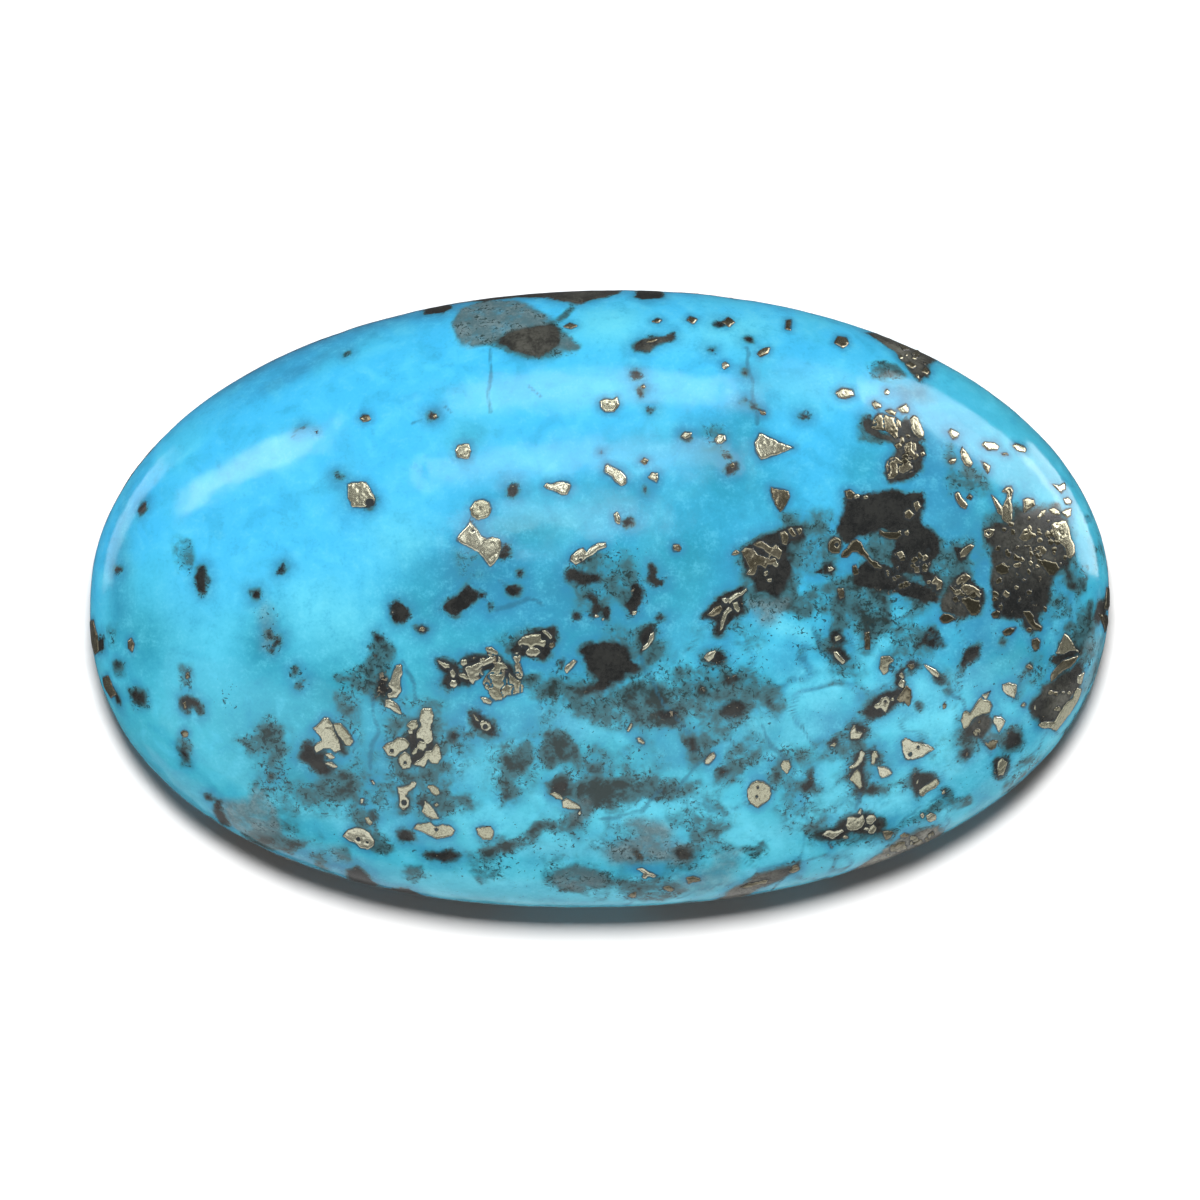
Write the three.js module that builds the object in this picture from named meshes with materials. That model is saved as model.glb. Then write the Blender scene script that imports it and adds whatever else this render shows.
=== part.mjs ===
// A polished turquoise cabochon: one natural stone, cut to an oval dome with a flat back.
// Millimetres, +Z up. The origin is the middle of the flat back, +X runs along the oval.
import * as THREE from "three";
import { mergeVertices } from "three/addons/utils/BufferGeometryUtils.js";

// Overall size, seen from above and from the side.
const LENGTH = 30.0;
const WIDTH = 18.2;
const HEIGHT = 6.2;

// The hand-cut oval leans a little: its four outermost points are off the axes.
const TOP_APEX_X = 0.57;
const BOTTOM_APEX_X = -0.51;
const RIGHT_TIP_Y = 0.14;
const LEFT_TIP_Y = -0.21;

// How full each quarter of the oval is: 2 is a plain ellipse, and more is squarer.
const FULL_TOP_LEFT = 2.1;
const FULL_TOP_RIGHT = 2.04;
const FULL_BOTTOM_LEFT = 2.21;
const FULL_BOTTOM_RIGHT = 2.17;

// The dome stands on a low girdle, and a rounded bevel leads from the girdle to the back.
const GIRDLE_HEIGHT = 1.3;
const BACK_BEVEL = 0.8;
const DOME_PLAN_POWER = 2.25;
const DOME_RISE_POWER = 2.0;

// Grinding by hand leaves the dome very slightly uneven.
const WAVE_DEPTH = 0.035;
const WAVE_LENGTH_X = 9.5;
const WAVE_LENGTH_Y = 7.0;
const WAVE_SLANT = 0.35;

const SEGMENTS = 96;
const DOME_RINGS = 22;
const BEVEL_RINGS = 5;

const STONE_BLUE = 0x3fb2e0;
const POLISH_ROUGHNESS = 0.15;

// A point of the oval. Its quarters are superellipses that meet at the four outermost points.
function ovalPoint(angle) {
  const c = Math.cos(angle);
  const s = Math.sin(angle);
  const right = c >= 0;
  const up = s >= 0;
  const apexX = up ? TOP_APEX_X : BOTTOM_APEX_X;
  const tipY = right ? RIGHT_TIP_Y : LEFT_TIP_Y;
  const reachX = LENGTH / 2 - Math.sign(c) * apexX;
  const reachY = WIDTH / 2 - Math.sign(s) * tipY;
  const full = up
    ? (right ? FULL_TOP_RIGHT : FULL_TOP_LEFT)
    : (right ? FULL_BOTTOM_RIGHT : FULL_BOTTOM_LEFT);
  return new THREE.Vector2(
    apexX + Math.sign(c) * reachX * Math.abs(c) ** (2 / full),
    tipY + Math.sign(s) * reachY * Math.abs(s) ** (2 / full),
  );
}

// The oval drawn in by a fixed distance, square to its edge.
function insetOval(inset) {
  const oval = Array.from({ length: SEGMENTS }, (_, i) =>
    ovalPoint((2 * Math.PI * i) / SEGMENTS),
  );
  return oval.map((point, i) => {
    const before = oval[(i + SEGMENTS - 1) % SEGMENTS];
    const after = oval[(i + 1) % SEGMENTS];
    const along = after.clone().sub(before).normalize();
    return new THREE.Vector2(point.x - along.y * inset, point.y + along.x * inset);
  });
}

// Height of the polishing waves: none at the girdle, most on the crown of the dome.
function wave(x, y, rise) {
  const ripple =
    Math.sin((2 * Math.PI * (x + WAVE_SLANT * y)) / WAVE_LENGTH_X) *
    Math.cos((2 * Math.PI * (y - WAVE_SLANT * x)) / WAVE_LENGTH_Y);
  return WAVE_DEPTH * ripple * rise * (1 - rise);
}

// One ring of points for each level, from the flat back up to just below the crown.
function stoneRings() {
  const rings = [];
  for (let k = 0; k < BEVEL_RINGS; k++) {
    const turn = ((Math.PI / 2) * k) / BEVEL_RINGS;
    const z = GIRDLE_HEIGHT * Math.sin(turn) ** 2;
    const inset = BACK_BEVEL * (1 - Math.sin(turn));
    rings.push(insetOval(inset).map((p) => new THREE.Vector3(p.x, p.y, z)));
  }
  const girdle = insetOval(0);
  for (let k = 0; k < DOME_RINGS; k++) {
    const turn = ((Math.PI / 2) * k) / DOME_RINGS;
    const spread = Math.cos(turn) ** (2 / DOME_PLAN_POWER);
    const rise = Math.sin(turn) ** (2 / DOME_RISE_POWER);
    rings.push(
      girdle.map((p) => {
        const x = p.x * spread;
        const y = p.y * spread;
        const z = GIRDLE_HEIGHT + (HEIGHT - GIRDLE_HEIGHT) * rise + wave(x, y, rise);
        return new THREE.Vector3(x, y, z);
      }),
    );
  }
  return rings;
}

// The closed surface: a fan on the back, strips between rings and a fan on the crown.
function stoneGeometry() {
  const rings = stoneRings();
  const points = [new THREE.Vector3(0, 0, 0), ...rings.flat(), new THREE.Vector3(0, 0, HEIGHT)];
  const crown = points.length - 1;
  const lastRing = 1 + (rings.length - 1) * SEGMENTS;
  const faces = [];
  for (let i = 0; i < SEGMENTS; i++) {
    const next = (i + 1) % SEGMENTS;
    faces.push(0, 1 + next, 1 + i);
    for (let k = 0; k + 1 < rings.length; k++) {
      const low = 1 + k * SEGMENTS;
      const high = low + SEGMENTS;
      faces.push(low + i, low + next, high + next);
      faces.push(low + i, high + next, high + i);
    }
    faces.push(lastRing + i, lastRing + next, crown);
  }
  const geometry = new THREE.BufferGeometry().setFromPoints(points);
  geometry.setIndex(faces);
  const closed = mergeVertices(geometry);
  closed.computeVertexNormals();
  return closed;
}

const stone = new THREE.Mesh(
  stoneGeometry(),
  new THREE.MeshStandardMaterial({
    color: STONE_BLUE,
    roughness: POLISH_ROUGHNESS,
    metalness: 0,
  }),
);
stone.name = "turquoise_cabochon";

const part = new THREE.Group();
part.add(stone);

export default part;
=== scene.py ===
import math

import bpy
import numpy as np
from mathutils import Matrix


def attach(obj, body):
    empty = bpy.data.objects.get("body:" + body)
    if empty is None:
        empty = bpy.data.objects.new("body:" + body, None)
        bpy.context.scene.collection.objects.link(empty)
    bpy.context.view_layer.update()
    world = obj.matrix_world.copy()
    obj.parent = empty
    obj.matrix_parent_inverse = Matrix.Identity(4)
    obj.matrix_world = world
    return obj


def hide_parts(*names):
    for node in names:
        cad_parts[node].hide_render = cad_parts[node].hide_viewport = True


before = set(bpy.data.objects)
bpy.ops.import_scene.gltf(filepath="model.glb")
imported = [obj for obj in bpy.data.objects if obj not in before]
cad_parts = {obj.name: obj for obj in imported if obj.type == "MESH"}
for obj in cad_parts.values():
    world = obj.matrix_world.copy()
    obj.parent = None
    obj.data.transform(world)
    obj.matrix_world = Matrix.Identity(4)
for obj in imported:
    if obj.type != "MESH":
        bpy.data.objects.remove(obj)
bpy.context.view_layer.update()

# A polished turquoise with dark matrix and pyrite, lying on a white floor. Everything below
# is in millimetres until a mesh, light or camera is made
MM = 0.001

# Size and outline of the stone, the same as in the CAD part
LENGTH, WIDTH, HEIGHT = 30.0, 18.2, 6.2
TOP_APEX_X, BOTTOM_APEX_X = 0.57, -0.51
RIGHT_TIP_Y, LEFT_TIP_Y = 0.14, -0.21
FULL_TOP_LEFT, FULL_TOP_RIGHT = 2.1, 2.04
FULL_BOTTOM_LEFT, FULL_BOTTOM_RIGHT = 2.21, 2.17
GIRDLE_HEIGHT = 1.3
BACK_BEVEL = 0.8
DOME_PLAN_POWER = 2.25
WAVE_DEPTH = 0.035
WAVE_LENGTH_X, WAVE_LENGTH_Y, WAVE_SLANT = 9.5, 7.0, 0.35

# The photo is a square. The stone's middle and its length in it, in pixels
PHOTO_SIDE = 1200
STONE_MIDDLE_X, STONE_MIDDLE_Y = 599.5, 598.75
STONE_LENGTH_IN_PHOTO = 1022
PIXEL = LENGTH / STONE_LENGTH_IN_PHOTO

# The polished skin lies this far under the CAD surface, so that grains can stand up to it
SKIN_DEPTH = 0.035

# The marks of the dome were chosen one by one: in a grown stone none repeats.
# Each outline has only the points that its shape needs

# Pyrite grains that took a clean polish, as outlines in photo pixels
BRIGHT_GRAINS = [
    # upper left
    "349,485 353,483 367,483 371,489 376,499 375,505 366,508 354,507 350,498",
    "459,446 469,445 471,452 469,459 458,458 457,452",
    "600,402 606,399 612,401 617,398 619,405 614,412 606,413 601,409",
    "545,487 547,484 553,485 561,482 568,483 571,486 569,491 567,495 562,495 554,491 548,489",
    "604,473 606,464 613,468 621,472 626,478 626,484 621,486 616,483 611,477",
    "648,478 652,474 657,474 658,479 656,483 651,480",
    "614,515 617,513 620,519 620,525 616,523",
    "471,509 476,502 484,500 490,503 492,510 488,517 479,520 473,516",
    "466,530 471,521 476,528 481,536 486,539 484,548 480,552 470,547 458,541 459,537",
    "484,541 492,538 500,540 502,548 499,557 491,567 485,559 480,552",
    "570,561 572,556 577,551 583,549 587,553 592,547 598,544 605,543 606,547 598,551 590,556 583,561 576,564",
    # upper right
    "759,434 770,439 785,446 793,448 782,452 770,457 760,460 755,453 754,443",
    "681,437 684,433 691,434 690,437 684,439",
    "714,440 718,436 724,436 725,441 721,444 716,444",
    "834,393 841,388 852,390 853,396 845,399 838,398",
    "870,403 874,401 880,405 880,408 874,409",
    "884,411 889,409 895,412 893,416 888,415",
    "896,409 900,406 905,404 908,408 907,413 901,414",
    "909,420 912,416 916,417 919,424 922,432 922,438 918,439 913,434 910,428",
    "947,432 950,429 955,431 958,434 956,438 952,440",
    "961,447 963,450 967,455 971,463 969,467 964,465 961,459 960,452",
    "947,462 950,459 955,459 953,463 949,464",
    "980,461 984,463 989,466 988,471 986,473 983,468",
    "981,445 984,442 994,443 998,446 996,450 986,450",
    "1012,446 1015,443 1024,446 1026,449 1024,452 1016,450",
    "1052,484 1059,485 1065,483 1065,488 1061,493 1057,489",
    "1063,499 1068,497 1072,501 1070,504 1065,504",
    "1061,512 1066,509 1071,508 1070,515 1066,518",
    "1048,510 1053,507 1058,510 1060,515 1054,515",
    "1036,517 1040,511 1045,510 1043,516 1038,519",
    "1022,500 1026,498 1033,499 1034,505 1028,510 1023,513 1022,507",
    "1001,492 1005,487 1010,486 1012,491 1010,500 1011,510 "
    "1010,520 1006,523 1001,519 1001,508 1005,500 1006,493",
    "990,495 996,500 1001,508 1000,516 996,512 993,503",
    "1050,524 1057,521 1066,520 1069,530 1070,538 1074,546 "
    "1074,553 1070,558 1066,556 1065,548 1060,543 1055,541 1052,532",
    "953,494 957,492 960,498 965,505 964,509 959,507 955,501",
    # middle
    "721,599 724,597 728,600 727,604 723,604",
    "732,603 736,602 739,609 737,613 733,609",
    "727,599 733,595 740,592 745,588 746,590 741,595 734,599 729,603",
    "728,608 731,610 726,614 724,621 722,628 719,631 720,622 723,613",
    "543,631 546,630 553,637 551,639",
    "832,652 835,651 840,657 844,661 841,664 835,659",
    "833,637 837,635 840,638 837,641 834,641",
    "704,657 708,653 714,651 713,657 708,661",
    "565,669 568,664 574,660 577,661 573,667 567,672",
    "648,642 650,635 653,632 653,637 650,643 646,648 642,650 643,646",
    # lower left
    "398,665 402,665 403,672 401,681 402,690 398,697 390,698 389,694 392,688 389,684 393,678 395,670",
    "387,700 391,699 396,702 400,706 402,713 397,712 391,707 386,706",
    "422,713 425,708 432,708 434,715 434,721 431,724 433,732 "
    "434,740 428,743 424,739 418,738 417,733 421,728 423,724 421,720",
    "408,725 412,721 418,719 419,725 417,728 412,728",
    "409,730 413,729 414,733 410,733",
    "385,747 388,743 394,741 399,737 406,738 411,743 408,748 401,752 396,756 389,754",
    "399,761 402,755 406,752 411,755 412,761 410,767 404,768",
    "418,744 422,741 427,742 428,747 424,750 419,748",
    "412,753 415,748 419,747 418,752 414,755",
    "427,751 433,750 438,743 440,749 442,757 439,762 432,762 "
    "429,758 427,763 425,767 421,765 415,764 418,761 423,758 426,754",
    "429,786 434,785 439,788 440,793 437,795 432,791",
    "398,786 403,786 410,784 413,781 417,782 415,787 409,791 405,795 409,800 409,806 404,809 401,806 400,796",
    "418,803 422,803 426,800 430,804 434,808 437,812 440,818 434,818 428,816 424,811 424,805",
    "434,804 438,802 440,804 437,807",
    "414,828 418,823 425,823 431,822 436,826 443,824 450,825 455,830 452,835 445,837 437,838 430,835 424,831",
    "344,836 349,830 357,827 364,829 370,833 374,840 374,845 368,849 361,848 356,843 350,841",
    "315,728 321,723 326,717 330,718 332,723 337,733 341,745 342,749 "
    "337,752 332,748 325,748 318,753 315,748 318,743 324,740 320,733",
    "336,724 342,723 347,728 352,735 355,741 352,745 347,744 342,737 337,730",
    "327,754 332,753 336,757 331,759",
    "327,763 333,761 338,766 335,768",
    "477,828 483,826 491,827 494,831 492,839 484,838 479,834",
    "482,697 486,697 493,701 491,704 485,702",
    "439,660 444,662 450,664 451,667 446,668 441,664",
    "451,671 454,669 457,673 455,677 452,676",
    "450,683 453,679 457,680 458,684 455,687 451,686",
    "461,661 464,658 468,659 468,663 464,665 462,664",
    "460,674 465,674 470,678 466,679 461,676",
    "473,713 475,714 479,717 480,721 476,720",
    "480,722 484,720 490,722 492,727 488,730 482,728",
    "551,793 555,791 561,795 562,798 557,797",
    "562,800 566,798 573,801 579,805 581,808 577,808 570,808 564,806",
    "577,813 580,810 582,813 579,815",
    "370,777 374,780 377,785 374,783",
    "361,803 362,798 365,798 364,804",
    "366,818 369,817 373,822 371,825 368,823",
    # lower middle and right
    "627,730 630,724 632,723 631,727 628,731",
    "636,737 640,737 645,742 643,744 638,741",
    "704,760 708,754 713,752 715,755 712,760 708,764 704,763",
    "780,764 783,760 788,760 790,766 786,772 782,768",
    "747,789 750,783 756,780 763,781 769,786 770,793 768,799 763,803 757,807 751,803 748,797",
    "637,869 642,868 647,871 652,873 658,876 654,878 648,876 645,879 642,877 644,873",
    "851,725 854,724 855,731 861,732 858,738 850,738 850,731",
    "829,745 833,742 835,743 833,746",
    "858,755 860,749 863,753 861,759 858,764 852,768 848,767 854,762",
    "849,779 852,774 856,769 859,772 860,780 861,786 858,789 855,784",
    "870,756 872,751 875,750 877,756 874,758 873,764 870,763",
    "876,766 883,766 888,768 891,773 887,776 880,777 878,771",
    "857,813 859,808 861,809 860,814",
    "845,826 847,818 851,816 857,818 862,815 864,821 861,827 853,830 847,829",
    "865,819 868,815 873,815 875,819 871,824 866,823",
    "867,832 869,827 873,824 876,829 873,834 869,834",
    "821,835 826,831 834,831 841,829 843,831 837,835 832,839 828,836",
    "827,842 829,843 833,848 831,849",
    "918,790 922,787 928,783 932,780 936,778 938,783 933,788 927,791 922,796 919,795",
    "915,783 917,778 918,780 916,784",
    "926,816 930,813 935,816 935,820 930,822 927,820",
    "919,815 922,813 924,816 922,819",
    "900,741 903,738 912,742 922,743 928,746 932,749 926,753 920,757 912,759 905,759 902,752",
    "962,712 966,711 969,713 972,707 977,700 980,697 982,700 988,701 "
    "991,706 989,712 983,714 976,716 970,720 967,726 963,728 960,720",
    "981,695 985,693 989,691 986,697 984,700",
    "993,716 1000,717 1004,721 1001,727 998,733 995,726 992,721",
    "1001,685 1008,683 1015,685 1015,692 1013,698 1007,695 1002,690",
    "1020,706 1022,702 1025,704 1024,708",
    "1033,709 1034,705 1035,707 1035,710",
    "997,762 1001,759 1007,762 1006,767 1003,775 998,776 997,769",
    "1064,633 1068,636 1073,645 1078,652 1070,650 1063,654 1055,653 1060,643",
    "1077,676 1082,674 1085,672 1083,678 1081,684 1078,683",
    "1077,688 1082,690 1079,700 1070,714 1062,724 1056,732 1050,728 "
    "1042,728 1038,725 1044,722 1054,722 1060,712 1066,704 1073,698",
    "872,706 877,702 880,697 885,696 888,700 886,707 884,713 879,708 875,708",
    "897,675 900,672 903,676 901,679",
    "897,684 900,680 903,681 901,687 898,686",
    "878,668 880,657 888,656 892,660 886,665 887,671 882,674",
    "922,664 927,666 933,669 938,674 936,677 931,674 926,669",
    "983,536 983,531 987,528 992,530 991,535 987,538",
    "958,553 962,549 968,545 972,546 968,551 964,556 959,557",
]

# Grains that are dull, brownish or scratched
DULL_GRAINS = [
    "769,488 774,489 781,490 787,492 788,497 785,504 782,510 779,512 775,506 771,498",
    "740,552 744,548 752,549 757,555 764,558 771,560 775,562 770,565 766,564 "
    "764,568 760,565 756,566 755,572 753,576 748,576 746,574 750,569 747,563 744,558",
    "752,545 760,541 765,544 770,548 776,547 780,552 778,560 770,556 762,549",
    "778,533 784,531 787,536 785,545 781,544",
    "786,529 790,528 795,536 792,538 788,534",
    "795,529 800,527 802,532 798,535",
    "731,555 735,551 739,553 735,555",
    "827,545 829,539 834,537 839,540 840,547 837,553 831,553 827,550",
    "840,557 842,552 845,549 850,542 855,540 859,543 862,549 866,555 "
    "870,560 876,563 880,568 874,568 868,564 862,556 855,552 850,552 846,557",
    "878,530 884,533 892,533 899,531 900,536 893,539 885,539 878,535",
    "843,492 848,490 853,494 850,500 845,499",
    "851,566 854,565 857,574 852,576",
    "836,589 842,588 843,597 838,600",
    "863,633 867,632 868,642 867,649 864,648",
    "707,615 713,609 719,606 721,609 718,613 712,617",
    "938,619 942,614 950,615 954,619 948,622 941,623",
    "960,600 966,597 974,600 978,600 979,608 975,614 970,615 965,609 961,604",
    "990,614 995,610 999,612 997,617 992,618",
    "1022,612 1028,611 1032,616 1034,623 1041,627 1040,631 1033,629 1026,622",
    "1001,632 1005,629 1011,628 1015,627 1012,632 1008,635 1003,635",
    "1024,630 1028,627 1032,629 1029,632",
    "1030,640 1036,638 1039,641 1038,648 1034,650 1031,645",
    "1057,666 1062,661 1072,658 1078,656 1075,662 1070,667 1062,671 1055,678 1050,682 1051,673",
    "1038,561 1043,559 1050,561 1055,562 1059,568 1053,575 1048,576 1044,570",
    "994,566 1000,563 1006,566 1007,573 1000,575 995,572",
    "981,740 987,742 992,740 997,741 994,748 990,750 985,745",
    "895,699 900,692 905,686 909,690 910,697 907,705 903,700 898,702",
    "881,831 886,831 892,833 890,838 886,840 883,835",
    "900,836 904,833 909,835 907,838 901,838",
    "893,848 898,843 905,842 905,850 898,853",
    "912,845 920,840 924,843 917,847",
    "662,887 668,886 674,889 671,892 665,890",
    "686,878 693,876 699,878 700,881 692,882 688,884",
    "740,888 748,884 758,882 768,880 766,884 755,886 745,889",
    "789,872 793,866 797,865 799,869 793,873",
    "564,327 570,323 577,326 571,329",
    "652,322 657,318 662,320 658,323",
    "645,343 652,339 659,339 654,343",
    "686,320 690,316 697,319 693,324",
    "722,322 728,317 734,322 729,327",
    "757,354 761,350 769,348 767,353 760,357",
    "785,329 786,320 791,319 790,330",
    "834,343 838,336 846,337 848,343 842,348",
    "899,343 906,345 910,349 903,349",
    "914,350 918,349 920,354 916,357",
    "905,364 909,361 916,365 912,369",
    "921,371 925,367 930,371 926,374",
    "966,498 968,494 971,497 969,500",
    "129,641 132,638 135,644 133,652 129,648",
    "88,622 93,620 97,635 98,650 94,655 90,640",
    "102,678 108,676 112,685 117,695 110,698 104,688",
    "1107,588 1112,588 1112,605 1108,610 1105,609",
    "1099,614 1107,615 1110,622 1106,632 1102,622",
    "184,703 187,701 188,707 186,710",
    "182,733 185,730 189,732 188,736 184,737",
    "187,673 190,672 191,677 188,678",
    "361,419 364,415 369,416 371,420 365,422",
    "433,417 436,415 438,418 435,420",
    "641,387 643,385 645,388 642,389",
    "640,462 644,459 648,461 645,465",
    "729,466 732,464 733,467 731,468",
]

# Clusters eaten through by worm-like channels
WORMY_GRAINS = [
    "484,682 488,675 494,668 499,661 503,662 508,668 512,674 516,679 520,681 "
    "523,686 523,691 515,694 506,695 503,699 496,700 492,696 490,690 486,687",
    "514,652 518,652 521,656 520,662 522,668 524,675 521,679 517,676 516,668 516,662 513,657",
    "466,668 470,665 478,663 484,662 482,670 485,674 480,678 475,680 474,684 470,681 468,673",
    "480,662 486,660 492,656 496,658 492,663 484,666",
    "487,648 492,647 498,652 497,656 490,655",
    "519,642 523,638 532,634 540,634 541,640 546,641 544,646 536,644 528,648 521,646",
    "526,652 530,647 538,648 541,652 536,656 528,655",
    "872,420 876,414 882,414 888,416 895,418 900,423 900,432 897,438 894,440 890,435 884,430 876,430 870,428",
    "904,443 910,441 914,444 915,452 918,456 914,461 908,459 905,454 903,448",
    "894,446 898,443 900,447 896,449",
    "885,462 890,458 896,458 900,461 906,461 911,466 911,472 "
    "905,474 899,472 895,475 892,479 886,480 886,474 884,468",
    "918,452 922,450 924,455 920,457",
    "962,584 968,584 974,588 979,591 978,597 971,592 966,596 959,588",
    "957,578 963,573 968,578 962,583",
    "1017,538 1022,530 1028,528 1033,534 1029,540 1022,541",
    "903,512 908,509 913,515 908,520 903,518",
    "911,503 916,501 919,507 915,513",
    "929,582 934,577 940,581 940,589 934,592",
    "912,566 917,567 918,573 913,573",
    "895,553 900,551 903,556 898,559",
]

# Round holes through grains: x, y and radius in photo pixels
HOLES = [
    (371, 503, 4.5), (391, 690, 3), (393, 750, 2.2), (406, 762, 1.7), (405, 802, 3.2),
    (424, 803, 2), (437, 829, 2), (359, 839, 2.8), (368, 842, 1.8), (486, 726, 2.8),
    (757, 787, 1.6), (756, 796, 1.6), (835, 545, 2.2), (909, 754, 2.4), (917, 747, 1.6),
    (987, 533, 2), (1066, 571, 2), (474, 531, 1.5), (581, 560, 1.5), (884, 701, 1.6),
]

# Small grains as ovals: x, y, length, width in photo pixels, and tilt in degrees
BRIGHT_CHIPS = [
    (886, 392, 4, 7, 0), (829, 569, 5, 5, 0), (514, 487, 3, 3, 0), (891, 700, 3, 3, 0),
    (943, 792, 3, 3, 0), (845, 837, 6, 3, 0), (866, 829, 5, 3, 0), (596, 616, 4, 3, 0),
    (603, 619, 3, 3, 0), (634, 613, 3, 3, 0), (394, 613, 3, 4, 0), (855, 497, 5, 3, 20),
    (864, 498, 4, 3, 0), (725, 366, 7, 6, 30), (601, 453, 3, 2, 0), (318, 432, 3, 3, 0),
]
DULL_CHIPS = [
    (910, 666, 8, 7, 0), (1028, 667, 6, 5, 0), (943, 705, 3, 6, 0), (1044, 609, 4, 8, 20),
    (996, 548, 6, 8, 0), (1003, 530, 6, 5, 0), (1012, 532, 4, 6, 0), (1040, 547, 5, 4, 0),
    (1036, 556, 5, 5, 0), (633, 896, 8, 6, 20), (762, 413, 8, 4, -25), (896, 577, 5, 4, 0),
    (676, 548, 7, 8, 0), (719, 439, 12, 6, 20), (424, 629, 8, 5, 0), (1004, 454, 6, 3, 0),
]
# Small spots of matrix in the same way
DARK_SPOTS = [
    (637, 374, 8, 6, 0), (803, 417, 9, 5, 10), (753, 408, 9, 4, -30), (743, 402, 4, 3, 0),
    (424, 629, 13, 9, 0),
    (645, 490, 4, 4, 0), (491, 607, 5, 5, 0), (520, 574, 7, 6, 0), (660, 617, 6, 4, 0),
    (578, 617, 6, 6, 0), (380, 637, 10, 6, 0), (372, 647, 5, 4, 0),
    (377, 655, 5, 4, 0), (339, 477, 8, 3, -50), (918, 705, 4, 4, 0), (945, 690, 4, 4, 0),
    (1002, 642, 6, 5, 0), (1020, 678, 5, 3, 30), (1068, 577, 7, 5, 0), (1072, 585, 5, 6, 0),
    (745, 375, 6, 4, -40), (718, 324, 9, 4, 10), (747, 340, 8, 4, -20),
    (303, 429, 8, 3, 30), (348, 354, 2, 2, 0), (350, 709, 6, 2, 0), (346, 713, 2, 6, 0),
    (444, 685, 4, 6, 0), (561, 664, 6, 5, 0), (508, 795, 6, 4, 0), (273, 777, 7, 5, 0),
    (434, 416, 7, 6, 0), (712, 351, 5, 4, 0), (650, 408, 3, 3, 0),
    (119, 666, 6, 5, 0), (118, 570, 5, 4, 0), (685, 437, 7, 8, 0), (731, 470, 13, 9, 30),
    (729, 457, 8, 5, 0), (641, 392, 4, 6, 0), (966, 735, 14, 3, -35), (860, 512, 8, 5, 0),
]
# Zones of matrix strewn with grains too small to place: x, y, two reaches and how many
CRUMBLY_ZONES = [
    (1035, 545, 36, 36, 50), (1010, 590, 30, 30, 16), (958, 590, 26, 22, 22),
    (905, 565, 34, 28, 30), (895, 455, 24, 24, 12), (768, 555, 24, 30, 10),
    (862, 846, 40, 10, 8), (925, 838, 40, 12, 8), (985, 730, 20, 16, 6),
    (512, 668, 44, 22, 10), (1060, 690, 16, 26, 5), (915, 356, 20, 12, 6),
]
# Painted shade darkens the blue toward the edge of the dome: from and to what direction, in
# degrees counted from +X toward +Y, and how strongly. Its ends fade over some degrees, and it
# sets in at a share of the way to the edge
PAINTED_RIM_SHADES = [(100, 160, 1.0), (190, 250, 0.3)]
RIM_FADE = 15
RIM_START = 0.82
# Half the width of the dark web lines of the lower right, as a share of their noise
WEB_WIDTH = 0.16

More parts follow.
